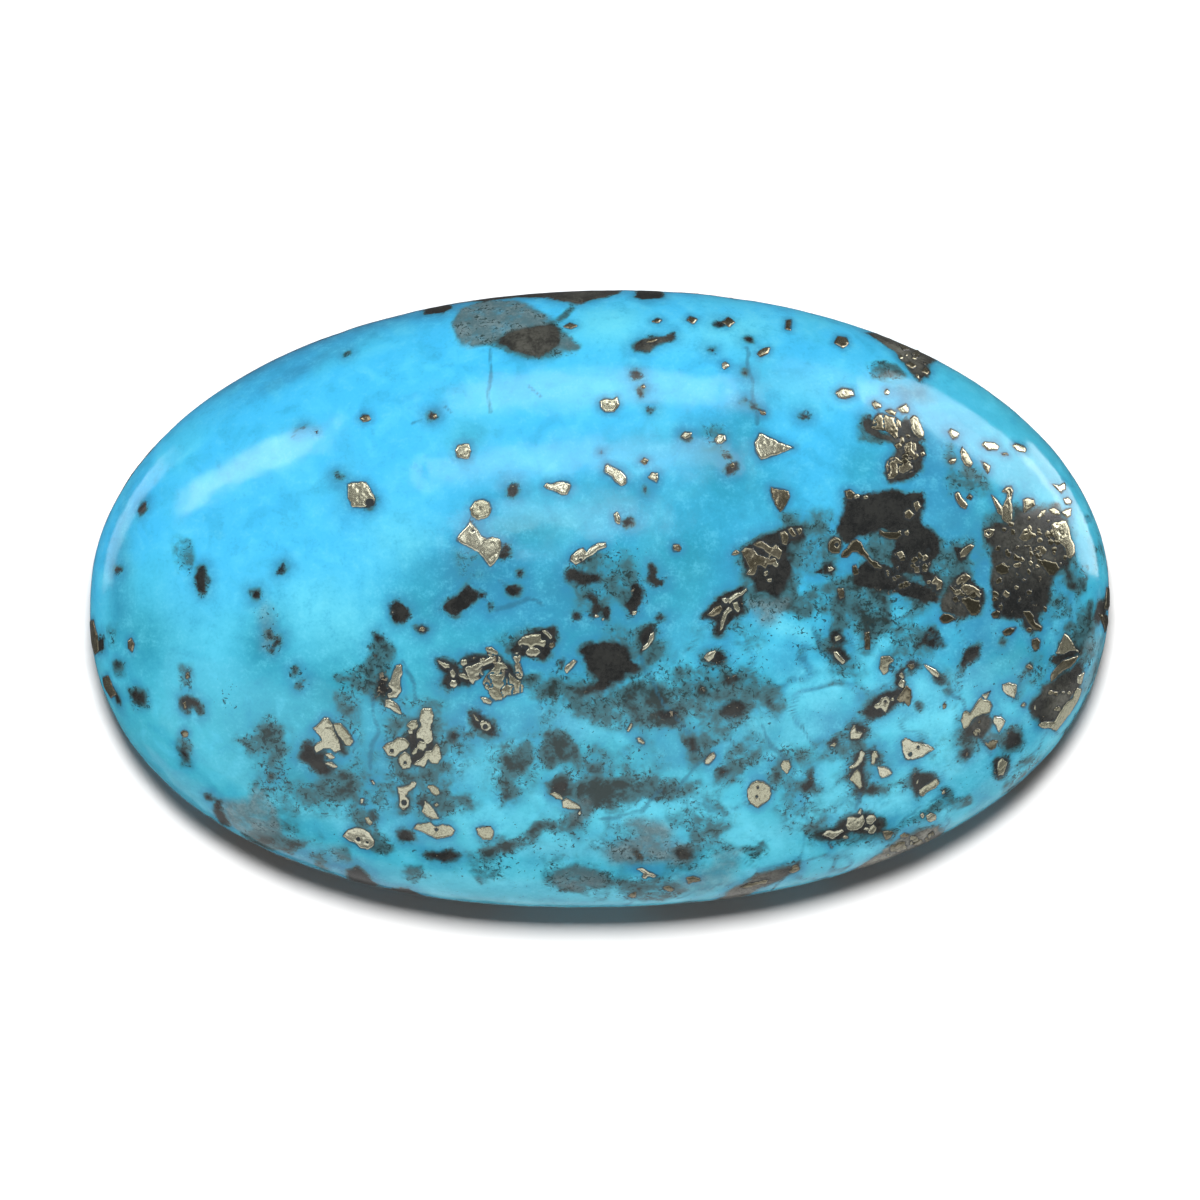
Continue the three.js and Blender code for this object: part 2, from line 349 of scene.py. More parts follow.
# Brown-black matrix that shows at the surface, as outlines in photo pixels
DARK_MATRIX = [
    # upper left rim and the large patch below it
    "440,303 470,296 500,291 530,287 620,284 618,291 600,298 578,303 560,300 545,296 520,296 480,301",
    "426,306 436,300 448,300 449,308 440,313 428,313",
    "497,338 512,332 530,328 548,325 556,328 558,340 552,350 540,357 525,355 510,348 500,344",
    "633,347 640,341 655,338 672,334 673,338 658,344 645,350 634,350",
    "640,288 660,288 660,296 645,300 636,296",
    "138,511 142,502 147,500 146,508 141,514",
    "202,568 206,566 208,580 206,593 202,590 200,578",
    "253,590 259,589 261,594 258,599 253,597",
    "281,574 286,564 288,567 284,573",
    # middle
    "393,606 398,602 406,603 411,609 411,616 405,621 398,621 394,615",
    "442,607 450,600 461,592 468,585 474,590 480,592 481,600 470,605 462,613 457,615 449,612",
    "506,588 512,586 521,589 520,596 514,598 507,594",
    "566,576 570,571 583,573 602,576 601,580 585,582 567,580",
    "586,594 590,592 596,599 600,605 598,614 592,615 593,604",
    "601,608 607,606 609,610 606,618 601,616",
    "633,586 638,583 643,590 642,597 638,610 630,613 626,605 632,597",
    "652,567 656,570 657,577 661,582 666,578 664,584 655,585 651,580",
    "481,594 486,595 487,600 482,601",
    "502,544 509,545 510,554 504,560 499,557",
    "624,523 632,520 634,526 627,529",
    "510,485 517,484 520,490 517,495 511,493",
    "578,652 584,647 597,644 605,641 617,643 627,648 630,655 634,661 642,667 636,672 626,675 "
    "622,680 612,682 609,688 601,694 593,692 586,693 584,690 592,686 598,680 594,676 588,670 585,662",
    "519,641 528,632 540,630 553,628 556,640 552,655 544,660 530,655 521,655 512,650",
    "462,660 470,657 486,655 500,655 505,662 516,668 521,680 516,684 506,676 498,668 482,672 470,686 460,680",
    "437,659 445,658 456,663 462,670 462,684 450,690 443,682 449,674 440,666",
    "470,710 480,710 493,720 500,735 492,736 478,728 470,720",
    "449,733 453,730 460,733 475,731 474,734 460,736 455,740 450,738",
    "640,640 645,630 652,626 654,632 648,642 641,652",
    "687,740 694,739 697,745 692,755 688,747",
    "720,678 726,675 733,676 738,678 733,682 726,682",
    "697,688 700,684 704,688 705,697 700,692",
    "715,711 725,704 732,701 745,703 748,708 740,714 728,717",
    "714,651 720,649 725,657 723,664 711,665 704,660",
    "652,717 660,709 670,708 679,713 674,720 660,722",
    "717,770 721,766 728,768 727,773 719,775",
    "796,785 802,782 806,778 808,770 812,769 809,777 812,783 815,785 810,788 804,793 801,788",
    # lower left
    "266,631 272,632 275,637 271,639 268,635",
    "274,641 281,638 281,642 276,645",
    "271,649 276,648 275,651 272,651",
    "294,669 297,668 298,672 295,673",
    "300,685 304,680 308,679 306,683 302,687",
    "375,633 379,633 384,638 383,642 378,641",
    "300,760 306,745 313,742 318,752 328,753 326,760 334,768 330,774 322,775 310,765",
    "330,722 334,724 343,742 349,750 345,754 338,744",
    "384,672 390,680 392,692 386,698 378,694",
    "410,730 420,722 424,738 436,742 432,754 424,760 412,764 406,748",
    "402,798 410,796 412,806 404,812",
    "370,813 375,811 378,817 373,820",
    "399,832 405,829 413,832 418,840 412,843 402,842",
    "425,856 430,851 440,852 450,851 459,855 454,861 444,862 432,860",
    "347,872 358,868 368,876 378,885 372,895 352,890",
    "380,888 395,889 410,889 420,896 414,908 392,904",
    "215,800 222,802 222,812 228,824 222,826 216,812",
    "206,796 211,795 211,800 206,800",
    "182,700 190,696 197,700 202,707 203,713 199,714 194,706 188,706 187,713 183,708",
    "180,750 186,750 190,755 189,762 186,762",
    "130,692 137,691 146,697 144,703 136,702",
    "96,640 103,638 103,650 97,652",
    "112,688 118,692 121,706 116,704",
    # lower middle
    "632,845 640,848 645,855 642,862 635,860",
    "672,851 682,848 692,850 694,856 686,860 678,857",
    "551,783 562,779 570,784 566,792 556,791",
    "590,768 603,766 602,771 590,773",
    "718,902 728,893 738,886 745,882 757,876 770,872 780,868 "
    "798,862 800,868 782,880 770,886 755,892 740,900 725,910",
    "838,880 862,866 878,857 888,848 900,841 915,832 930,828 940,826 938,842 920,856 900,864 880,872 855,882",
    "816,832 832,826 848,817 866,814 880,816 884,826 878,834 864,833 850,832 836,840 822,838",
    "848,728 852,721 863,724 866,728 862,738 855,741 848,738",
    "826,742 834,738 838,744 834,749 828,748",
    "846,776 851,766 850,758 858,748 864,750 866,758 862,770 864,788 858,794 852,786",
    "868,752 874,748 879,756 876,764 870,764",
    "862,792 868,786 873,782 876,788 872,794",
    "911,777 914,770 923,774 934,776 938,781 928,786 920,792 917,799 912,794 910,785",
    "940,790 945,789 947,796 941,797",
    # right
    "841,518 846,510 846,500 852,496 866,495 880,492 895,491 908,494 920,494 922,503 919,515 "
    "918,524 905,528 902,531 893,531 880,527 872,530 865,532 858,537 848,543 842,540 838,528",
    "895,540 905,538 915,536 930,538 935,541 934,552 931,562 928,572 "
    "935,580 940,588 935,594 926,586 920,575 905,570 893,572 890,560 893,550",
    "850,578 858,566 872,562 886,566 893,572 905,578 920,584 934,594 936,602 922,603 904,595 880,590 852,584",
    "888,524 900,521 916,522 926,530 935,541 918,540 902,541 893,540",
    "742,548 755,541 768,536 782,530 792,526 803,525 802,535 788,545 "
    "786,560 790,574 782,584 776,596 766,590 756,592 750,578 746,566",
    "824,565 830,563 834,569 830,574 824,573",
    "814,570 824,568 824,573 814,573",
    "836,598 842,598 840,603 836,602",
    "896,442 905,438 915,442 922,450 921,460 922,470 912,476 898,478 888,481 884,474 890,460 896,452",
    "862,420 870,418 880,432 894,440 898,424 906,418 912,432 922,440 914,446 900,442 886,440 872,434 863,430",
    "868,333 875,332 890,337 900,340 910,344 922,351 936,357 "
    "928,363 926,374 918,381 912,374 906,362 900,357 892,348 880,340",
    "983,530 996,522 1008,524 1020,515 1035,510 1050,513 1062,517 1066,520 1054,526 1055,541 "
    "1062,545 1066,558 1068,566 1060,570 1052,577 1048,590 1046,600 1040,612 1028,616 1010,618 "
    "997,616 991,605 991,590 990,580 993,572 992,560 993,548 985,540",
    "941,600 946,592 951,584 957,574 964,572 970,582 980,590 "
    "981,600 974,614 966,618 955,619 950,614 941,614 937,607",
    "952,545 960,546 970,542 964,556 958,562 954,556",
    "960,652 968,649 980,645 977,653 970,662 962,672 959,665",
    "1022,616 1036,614 1040,628 1030,634 1020,626",
    "1026,664 1030,663 1031,669 1026,671",
    "1050,683 1060,677 1070,670 1078,662 1082,668 1081,682 1078,692 1070,700 "
    "1064,708 1060,720 1050,725 1040,723 1034,715 1028,706 1033,697 1042,688",
    "1050,657 1058,653 1066,652 1070,648 1080,652 1074,657 1062,660 1056,668 1050,664",
    "1098,600 1106,598 1106,612 1098,626 1094,620",
    "966,727 972,719 980,714 989,715 991,722 986,732 979,740 972,737 962,732",
    "1006,732 1012,727 1019,733 1018,745 1010,747 1004,742",
    "995,762 999,757 1008,760 1007,770 1001,779 995,774",
    "959,750 964,746 970,751 968,758 962,759 958,755",
    "860,712 868,702 876,696 884,691 893,690 903,684 905,700 896,703 889,710 880,716 866,716",
    "894,672 903,668 906,680 902,690 894,686",
    "905,662 912,659 917,666 911,672 905,669",
    "914,646 921,637 928,625 937,638 941,645 936,642 928,631 921,645",
    "921,641 928,638 934,643 928,647",
    "828,649 836,648 847,660 843,666 834,660",
    "830,634 838,632 842,640 836,645 830,642",
    "704,617 712,605 720,597 728,594 742,588 744,598 743,612 736,614 728,622 722,634 716,634 718,618",
    "930,672 939,677 944,684 936,684",
    "767,702 771,695 771,702 773,710 769,708",
    "1050,549 1062,546 1066,560 1056,572 1046,574",
]

# Where that matrix is lighter, an olive grey: x, y, reach in photo pixels and strength
PALE_ROCK = [
    (530, 342, 34, 0.25), (580, 294, 40, 0.22), (745, 888, 40, 0.6), (890, 855, 34, 1.3),
    (930, 835, 24, 0.9), (903, 350, 30, 0.6), (655, 343, 16, 0.3), (1000, 570, 16, 0.25),
    (1062, 700, 22, 0.4), (1040, 560, 22, 0.3), (1020, 540, 30, 0.25), (980, 724, 16, 0.2),
    (640, 853, 14, 0.2), (684, 853, 14, 0.1), (950, 600, 20, 0.2), (895, 450, 24, 0.2),
    (1045, 692, 12, 0.2),
]

# Patches where matrix lies just under the surface and dims the blue: strength, softness
# in photo pixels, and outline
DIM_PATCHES = [
    (0.60, 5, "453,322 460,308 485,301 515,300 545,312 566,334 "
     "578,346 572,355 550,360 520,356 490,346 460,345"),
    (0.35, 5, "550,325 566,334 579,346 573,355 558,359 548,357"),
    (0.65, 3, "453,321 482,317 514,316 516,320 484,322 456,326"),
    (0.60, 4, "552,322 562,312 574,300 578,303 566,316 556,326"),
    (0.45, 6, "173,540 180,536 194,541 197,556 192,574 180,572 175,560"),
    (0.65, 10, "235,742 242,735 250,733 257,722 266,718 272,713 277,720 290,730 "
     "290,750 282,762 280,772 270,770 262,765 262,757 250,752 246,745"),
    (0.85, 4, "545,735 556,729 565,730 572,737 580,745 583,755 575,765 560,765 545,768 541,762 541,745"),
    (0.85, 4, "499,758 510,756 518,752 523,742 531,741 533,748 530,765 522,772 512,772 502,768"),
    (0.60, 6, "503,775 520,772 522,790 512,805 501,806"),
    (0.40, 10, "560,745 595,745 612,755 612,775 600,778 572,776"),
    (0.32, 14, "485,738 545,732 540,775 520,800 486,790"),
    (0.40, 12, "410,780 450,782 456,820 420,822"),
    (0.40, 14, "290,780 345,786 350,820 300,812"),
    (0.25, 12, "256,768 296,780 305,845 270,838"),
    (0.25, 10, "452,545 484,546 488,578 458,580"),
    (0.40, 12, "600,622 650,626 654,656 606,650"),
    (0.50, 10, "570,560 600,552 606,600 596,620 574,612"),
    (0.40, 10, "335,700 362,700 364,735 340,738"),
    (0.35, 10, "605,822 650,818 690,850 690,862 610,862"),
    (0.30, 10, "735,625 768,630 765,655 738,650"),
    (0.40, 10, "938,545 968,540 972,575 945,590"),
    (0.30, 10, "700,420 730,424 728,456 700,452"),
    (0.45, 12, "735,548 775,545 780,575 740,580"),
    (0.40, 12, "765,742 810,750 812,772 772,776"),
    (0.40, 12, "495,640 530,625 545,640 520,655"),
    (0.95, 4, "546,782 555,776 570,776 577,783 572,798 562,797 552,791"),
    (0.85, 5, "580,780 590,776 606,775 625,777 640,780 656,783 "
     "650,790 640,800 620,803 600,808 586,816 578,808 575,795"),
    (0.75, 5, "535,822 548,820 552,825 540,832 535,840 525,847 512,850 "
     "500,855 485,858 478,850 490,848 505,843 518,838 528,830"),
    (0.75, 5, "548,822 566,812 582,815 578,826 560,832 550,830"),
    (0.70, 6, "520,677 540,675 558,678 562,690 548,697 530,695"),
    (0.68, 10, "552,672 590,678 606,694 625,680 650,678 668,690 "
     "682,708 676,722 650,728 614,727 580,717 562,704"),
    (0.75, 6, "625,690 650,684 664,694 668,706 652,712 630,708"),
    (0.48, 10, "672,672 700,665 730,668 755,664 770,685 778,705 755,716 725,735 700,745 680,738 670,710"),
    (0.65, 6, "766,690 782,694 786,706 776,716 766,712"),
    (0.70, 8, "686,742 715,738 700,770 688,766"),
    (0.55, 8, "714,771 728,756 752,750 762,752 745,768 742,782 716,784"),
    (0.60, 8, "645,775 680,780 698,780 694,790 685,797 650,796"),
    (0.40, 8, "690,825 712,818 728,826 720,840 738,850 700,856 690,842"),
    (0.60, 6, "742,850 762,843 768,852 752,860"),
    (0.45, 9, "800,826 815,820 845,818 880,818 895,826 892,838 870,842 835,846 812,838"),
    (0.55, 8, "944,790 950,800 935,815 920,824 900,832 890,842 880,836 905,820 925,808"),
    (0.60, 6, "948,800 968,796 970,806 955,812 946,808"),
    (0.40, 9, "866,786 912,776 906,790 878,796"),
    (0.70, 7, "335,675 345,672 355,667 365,664 385,634 394,650 392,700 375,702 360,690 342,684"),
    (0.65, 8, "315,785 330,778 345,768 372,776 364,790 335,802 320,795"),
    (0.65, 8, "340,850 350,845 352,862 338,862 330,850"),
    (0.70, 8, "355,800 366,806 380,830 396,850 384,855 366,845 352,822"),
    (0.55, 14, "385,700 445,700 450,740 440,780 400,790 388,760"),
    (0.65, 8, "440,790 470,795 480,803 465,812 445,808 436,800"),
    (0.80, 7, "240,834 255,827 272,834 290,838 308,842 290,854 268,850 248,842"),
    (0.50, 8, "465,850 500,860 505,878 480,884 468,870"),
    (0.70, 8, "545,872 580,862 608,870 608,882 588,892 560,892 545,886"),
    (0.65, 7, "404,866 420,866 428,876 412,882 404,878"),
    (0.60, 8, "620,880 660,880 690,890 660,902 625,900"),
    (0.75, 7, "866,364 880,359 896,364 904,375 890,382 872,377"),
    (0.80, 7, "856,426 864,418 880,428 886,440 874,446 860,440"),
    (0.65, 8, "944,448 952,446 952,492 946,492"),
    (0.55, 10, "955,460 982,472 990,492 960,494 950,478"),
    (0.55, 10, "778,515 830,510 835,560 800,575 785,560"),
    (0.70, 8, "828,572 848,576 846,640 832,645 830,610"),
    (0.85, 8, "744,560 794,550 798,600 788,612 750,606"),
    (0.75, 8, "845,575 890,588 886,636 858,640 846,610"),
    (0.70, 8, "862,532 890,532 896,560 872,566 860,552"),
    (0.60, 8, "785,590 832,585 836,612 800,618"),
    (0.55, 9, "812,630 830,640 836,660 852,668 840,680 822,655"),
    (0.60, 10, "886,560 960,540 975,570 940,600 900,590"),
    (0.65, 8, "985,515 1015,505 1060,505 1075,560 1050,590 985,545"),
    (0.55, 9, "1050,600 1066,598 1068,612 1052,614"),
    (0.60, 8, "1076,612 1092,600 1096,660 1082,668 1074,645"),
    (0.60, 9, "985,735 1020,725 1022,752 1000,752"),
    (0.60, 8, "955,720 985,735 975,752 956,745"),
    (0.45, 8, "892,622 932,628 930,656 893,654"),
    (0.60, 9, "602,556 630,552 642,580 628,604 608,598"),
    (0.50, 8, "640,628 655,622 660,655 645,668 636,650"),
    (0.45, 10, "108,628 118,625 116,645 108,645"),
    (0.55, 7, "112,664 126,664 126,674 114,674"),
    (0.55, 8, "128,688 148,690 150,708 134,710"),
    (0.50, 8, "178,738 192,738 194,766 180,768"),
    (0.50, 7, "180,664 194,664 196,690 182,690"),
    (0.50, 6, "248,785 262,780 270,792 258,796 248,794"),
    (0.45, 5, "335,690 356,690 352,712 338,710"),
    (0.55, 8, "1066,570 1082,570 1086,592 1070,592"),
    (0.30, 8, "775,742 790,748 800,752 860,742 850,756 800,762 782,760"),
]

# The same, but grey and earthy instead of teal
GREY_PATCHES = [
    (0.85, 5, "453,322 460,308 485,301 515,300 530,305 550,317 "
     "545,325 525,328 505,333 490,341 475,346 461,345"),
    (0.60, 5, "556,334 567,336 578,347 572,354 556,357"),
    (0.85, 6, "222,803 235,800 248,797 258,790 268,797 275,807 "
     "281,820 280,832 265,836 250,835 235,830 226,818"),
    (0.80, 8, "628,822 645,818 665,820 672,830 668,840 690,850 690,860 "
     "665,862 640,862 610,862 603,855 606,847 625,842 640,835"),
    (0.75, 6, "749,600 765,599 785,602 780,615 775,622 758,625 752,618"),
    (0.70, 7, "555,872 580,866 606,874 604,882 580,890 556,886"),
    (0.55, 8, "715,852 740,850 738,868 716,868"),
    (0.55, 8, "1085,640 1106,632 1100,668 1082,700 1078,690 1092,664"),
    (0.50, 7, "984,726 992,726 992,742 982,738"),
    (0.50, 9, "330,845 348,845 350,862 334,860"),
    (0.45, 9, "262,604 274,604 276,650 264,648"),
    (0.55, 8, "672,876 702,878 700,896 676,892"),
    (0.50, 8, "566,800 590,800 590,815 572,820"),
    (0.50, 10, "695,868 730,862 735,885 700,895"),
    (0.35, 8, "893,384 925,386 935,404 905,402"),
]

# Milky and bright zones, a few of them painted reflections, zones where the blue is deeper, a few
# of them painted shade at the rim, and zones where it is a deep green blue: x, y, two reaches, tilt and
# strength
# Those at 335,620, 125,550 and 790,630 are painted reflections of lights
MILKY_AND_SHEEN_ZONES = [
    (335, 620, 75, 40, -20, 0.8), (395, 545, 45, 40, 10, 0.6), (560, 525, 60, 22, 0, 0.3),
    (790, 630, 26, 9, -20, 1.0), (930, 715, 40, 32, 0, 1.0), (920, 805, 50, 26, -20, 1.0),
    (765, 845, 60, 24, 0, 0.9), (835, 795, 28, 30, 0, 1.0), (590, 725, 30, 14, -20, 0.6),
    (508, 748, 12, 9, 0, 0.8), (600, 850, 14, 22, 0, 0.6), (170, 620, 60, 50, 0, 0.4),
    (500, 878, 70, 20, 0, 0.9), (980, 665, 44, 16, 10, 0.4), (910, 690, 24, 24, 0, 0.6),
    (868, 682, 18, 16, 0, 0.5), (520, 820, 24, 20, 0, 0.5), (640, 815, 30, 12, 0, 0.6),
    (260, 780, 50, 20, -30, 0.2), (300, 810, 30, 16, 0, 0.2), (955, 755, 34, 34, 0, 1.0),
    (680, 800, 40, 20, 0, 0.9), (880, 806, 36, 16, 0, 1.0), (865, 850, 50, 18, -20, 1.0),
    (400, 800, 20, 18, 0, 0.7), (470, 770, 30, 16, 0, 0.6), (610, 890, 60, 14, 0, 0.7),
    (550, 845, 40, 14, 0, 0.7), (1000, 770, 20, 20, 0, 0.8), (125, 550, 10, 50, 15, 0.6),
    (610, 325, 44, 26, 0, 0.9), (730, 330, 64, 26, 10, 0.9), (825, 380, 40, 20, 20, 0.5),
]
GREEN_ZONES = [
    (480, 572, 64, 36, 0, 1.0), (575, 588, 60, 40, 0, 0.9), (520, 532, 60, 24, 0, 0.9),
    (620, 500, 60, 36, 0, 0.75), (620, 570, 50, 34, 0, 0.6), (690, 555, 60, 50, 0, 0.9),
    (715, 470, 40, 50, 0, 0.8), (745, 430, 22, 60, -8, 0.7), (430, 605, 50, 34, 0, 0.8),
    (670, 600, 60, 30, 0, 0.6), (640, 445, 70, 14, 0, 0.4), (770, 490, 40, 40, 0, 0.6),
    (840, 600, 50, 40, 0, 0.6), (880, 565, 40, 40, 0, 0.6), (930, 590, 40, 40, 0, 0.5),
    (600, 640, 60, 34, 0, 0.7), (515, 640, 70, 24, 0, 0.7), (140, 640, 34, 36, 0, 0.5),
    (310, 780, 70, 46, 0, 0.8), (340, 690, 56, 50, 0, 0.8), (450, 680, 60, 40, 0, 0.75),
    (490, 500, 44, 34, 0, 0.35), (750, 745, 60, 30, 0, 0.5), (590, 755, 40, 26, 0, 0.7),
    (985, 530, 60, 50, 0, 0.7), (1012, 655, 60, 34, 0, 0.85), (266, 645, 26, 34, 0, 0.9),
    (150, 640, 40, 40, 0, 0.5), (550, 490, 60, 14, 0, 0.3), (270, 835, 50, 14, 30, 0.5),
    (862, 468, 34, 40, 0, 0.7), (910, 460, 30, 50, 0, 0.4), (470, 440, 20, 20, 0, 0.5),
    (120, 595, 22, 60, 0, 0.5),
]
# Those at 430,900, 320,860 and 300,370, along the rim, are painted shade
DEEP_AND_SHADE_ZONES = [
    (520, 600, 60, 30, 0, 0.5), (800, 545, 34, 26, 0, 0.9), (870, 548, 20, 20, 0, 1.0),
    (979, 562, 16, 22, 0, 0.9), (985, 600, 8, 12, 0, 0.8), (940, 470, 40, 50, 0, 0.8),
    (950, 520, 30, 30, 0, 0.6), (1068, 610, 24, 60, 0, 0.8), (320, 860, 60, 16, -15, 0.9),
    (390, 765, 40, 60, 0, 0.6), (430, 780, 50, 30, 0, 0.6), (540, 665, 30, 20, 0, 0.7),
    (565, 690, 20, 20, 0, 0.6), (540, 720, 60, 22, 0, 0.4), (640, 640, 60, 26, 0, 0.5),
    (840, 620, 14, 40, 0, 0.9), (730, 745, 60, 14, 15, 0.5), (760, 770, 20, 12, 0, 0.5),
    (870, 772, 10, 14, 0, 0.8), (900, 815, 40, 12, 30, 0.4), (990, 700, 20, 16, 0, 0.5),
    (430, 900, 60, 10, -5, 1.0), (120, 560, 18, 90, 0, 0.4), (300, 370, 60, 14, 28, 0.7),
    (465, 728, 30, 24, 0, 0.8), (660, 870, 40, 12, 0, 0.6), (980, 630, 30, 14, 0, 0.6),
    (1060, 660, 12, 40, 0, 0.5), (780, 385, 50, 50, 0, 0.15), (905, 395, 24, 12, 0, 0.8),
    (260, 730, 40, 40, 0, 0.3), (655, 790, 26, 10, 0, 0.6), (475, 572, 40, 22, 0, 0.6),
    (590, 590, 40, 24, 0, 0.6), (510, 610, 40, 16, 0, 0.4), (740, 565, 26, 24, 0, 0.5),
    (950, 565, 26, 20, 0, 0.5), (630, 645, 30, 20, 0, 0.5), (830, 722, 24, 20, 0, 0.7),
    (712, 442, 22, 22, 0, 0.4), (468, 562, 20, 20, 0, 0.7), (350, 500, 18, 30, 0, 0.4),
]

# Zones peppered with tiny black specks: density and outline
PEPPERED = [
    (0.9, "235,742 250,728 270,712 292,730 292,760 300,790 270,800 255,760"),
    (0.8, "335,676 362,662 392,634 394,700 350,700 340,690"),
    (0.8, "290,670 312,665 314,690 294,692"),
    (0.7, "315,785 345,768 372,776 366,800 330,806"),
    (0.9, "537,735 560,728 548,745 552,768 538,768"),
    (1.0, "582,742 598,742 598,766 584,768"),
    (0.7, "560,700 680,690 700,735 640,735 600,720 570,730"),
    (0.8, "655,775 700,780 700,810 655,808"),
    (0.7, "600,825 640,825 640,862 605,862"),
    (0.9, "668,812 686,812 688,834 672,832"),
    (0.9, "694,826 712,820 706,838 694,838"),
    (0.6, "690,836 720,836 720,860 695,858"),
    (0.6, "660,660 770,650 770,690 690,700 665,690"),
    (0.7, "745,600 790,600 780,640 750,640"),
    (0.7, "790,605 830,610 830,640 800,665 785,655"),
    (0.9, "850,590 900,590 900,640 860,640"),
    (0.5, "600,540 650,545 650,600 610,600"),
    (0.6, "258,600 276,600 284,655 262,655"),
    (0.35, "174,540 196,540 198,572 178,574"),
    (0.6, "216,680 240,680 240,712 218,712"),
    (0.7, "545,815 600,812 580,850 550,850"),
    (0.6, "480,840 560,840 560,870 480,870"),
    (0.6, "620,735 650,742 646,762 624,762"),
    (0.7, "880,600 900,600 905,650 880,650"),
    (0.6, "780,780 815,790 815,830 780,830"),
    (0.4, "930,680 960,680 960,700 935,700"),
]

# Hair-thin healed cracks, as lines in photo pixels
VEINS = [
    "490,350 492,372 489,392 491,412",
    "745,348 750,372 752,396 756,425",
    "373,690 379,730 370,752 372,770",
    "402,662 412,680 418,700",
    "857,792 857,808",
    "812,630 822,648 832,660",
    "705,757 690,770 676,790",
    "945,690 960,702 975,735 992,755",
    "500,583 505,588",
    "497,610 515,606 530,600 545,605",
    "640,655 660,700 690,735",
    "1020,680 1012,700",
    "895,828 920,806 945,792",
    "760,725 772,745 784,760",
    "800,645 806,652 803,660 796,656",
    "413,423 424,420",
    "446,408 453,414",
    "293,439 297,433",
    "531,386 541,396",
    "660,790 640,812 600,820",
]


def smooth(value, low, high):
    """0 below low, 1 above high, and a smooth rise between."""
    t = np.clip((value - low) / (high - low), 0, 1)
    return t * t * (3 - 2 * t)


LATTICE_CELLS = 64


def lattice_noise(points, seed):
    """Smooth random values between -1 and 1, from a lattice that repeats after some cells."""
    side = LATTICE_CELLS
    lattice = np.random.default_rng(seed).uniform(-1, 1, (side, side, side))
    cell = np.floor(points).astype(int)
    t = points - cell
    t = t * t * (3 - 2 * t)
    total = np.zeros(len(points))
    for corner in np.ndindex(2, 2, 2):
        index = (cell + corner) % side
        weight = np.prod(np.where(corner, t, 1 - t), axis=1)
        total += weight * lattice[index[:, 0], index[:, 1], index[:, 2]]
    return total


def cloud(points, size, seed, octaves=3):
    """Cloudy noise with patches of about the given size, roughly between -1 and 1."""
    total = np.zeros(len(points))
    for k in range(octaves):
        total += lattice_noise(points * 2 ** k / size, seed + k) * 0.5 ** k
    return total


def flat_cloud(flat, size, seed, octaves=3):
    """The same for points in a plane."""
    return cloud(np.column_stack([flat, np.zeros(len(flat))]), size, seed, octaves)


def oval_point(angle):
    """The stone's outline from above: four quarter superellipses."""
    c, s = np.cos(angle), np.sin(angle)
    apex_x = np.where(s >= 0, TOP_APEX_X, BOTTOM_APEX_X)
    tip_y = np.where(c >= 0, RIGHT_TIP_Y, LEFT_TIP_Y)
    upper = np.where(c >= 0, FULL_TOP_RIGHT, FULL_TOP_LEFT)
    lower = np.where(c >= 0, FULL_BOTTOM_RIGHT, FULL_BOTTOM_LEFT)
    full = np.where(s >= 0, upper, lower)
    x = apex_x + np.sign(c) * (LENGTH / 2 - np.sign(c) * apex_x) * np.abs(c) ** (2 / full)
    y = tip_y + np.sign(s) * (WIDTH / 2 - np.sign(s) * tip_y) * np.abs(s) ** (2 / full)
    return x, y


# How many points the tables of the outline and the profiles have
TABLE_POINTS, BEVEL_TABLE_POINTS = 4001, 401

# The outline once more, as the distance of its edge from the middle in each direction
ring_x, ring_y = oval_point(np.linspace(0, 2 * math.pi, TABLE_POINTS))
RING_DIRECTION = np.unwrap(np.arctan2(ring_y, ring_x))
RING_REACH = np.hypot(ring_x, ring_y)


def reach(direction):
    """How far the edge is from the middle in a direction."""
    return np.interp(direction, RING_DIRECTION, RING_REACH, period=2 * math.pi)


# The dome's profile from the crown to the girdle: share of the reach, share of the height,
# and the path walked along it on a stone of typical width
TYPICAL_REACH = 11.5
dome_turn = np.linspace(0, math.pi / 2, TABLE_POINTS)
DOME_SPREAD = np.sin(dome_turn) ** (2 / DOME_PLAN_POWER)
DOME_RISE = np.cos(dome_turn)
dome_steps = np.hypot(
    np.diff(DOME_SPREAD) * TYPICAL_REACH, np.diff(DOME_RISE) * (HEIGHT - GIRDLE_HEIGHT)
)
DOME_PATH = np.concatenate([[0], np.cumsum(dome_steps)]) / TYPICAL_REACH
DOME_END = DOME_PATH[-1]

# The bevel's profile from the girdle down, then a little way in under the stone
UNDERSIDE_LEAD = 0.2
bevel_turn = np.linspace(math.pi / 2, 0, BEVEL_TABLE_POINTS)
bevel_inset = BACK_BEVEL * (1 - np.sin(bevel_turn))
bevel_drop = GIRDLE_HEIGHT * np.cos(bevel_turn) ** 2
BEVEL_INSET = np.append(bevel_inset, BACK_BEVEL + UNDERSIDE_LEAD)
BEVEL_DROP = np.append(bevel_drop, GIRDLE_HEIGHT)
BEVEL_PATH = np.concatenate(
    [[0], np.cumsum(np.hypot(np.diff(BEVEL_INSET), np.diff(BEVEL_DROP)))]
)
BEVEL_LENGTH = BEVEL_PATH[-2]

# Marks that run over the edge in the photo go on down the side: this much path for each
# part of the reach
SIDE_STRETCH = 3.0


def unit(direction):
    """Vectors of length 1 that point in the given directions of the plane."""
    return np.column_stack([np.cos(direction), np.sin(direction)])


def turn(angle):
    """The matrix that turns points, given as rows, counter-clockwise by an angle."""
    c, s = math.cos(angle), math.sin(angle)
    return np.array([[c, s], [-s, c]])


def unfold(plan):
    """Points seen from above, moved to the plane of the unfolded dome and side."""
    direction = np.arctan2(plan[:, 1], plan[:, 0])
    edge = reach(direction)
    share = np.hypot(plan[:, 0], plan[:, 1]) / edge
    path = np.interp(share, DOME_SPREAD, DOME_PATH) + np.maximum(share - 1, 0) * SIDE_STRETCH
    return unit(direction) * (path * edge)[:, None]


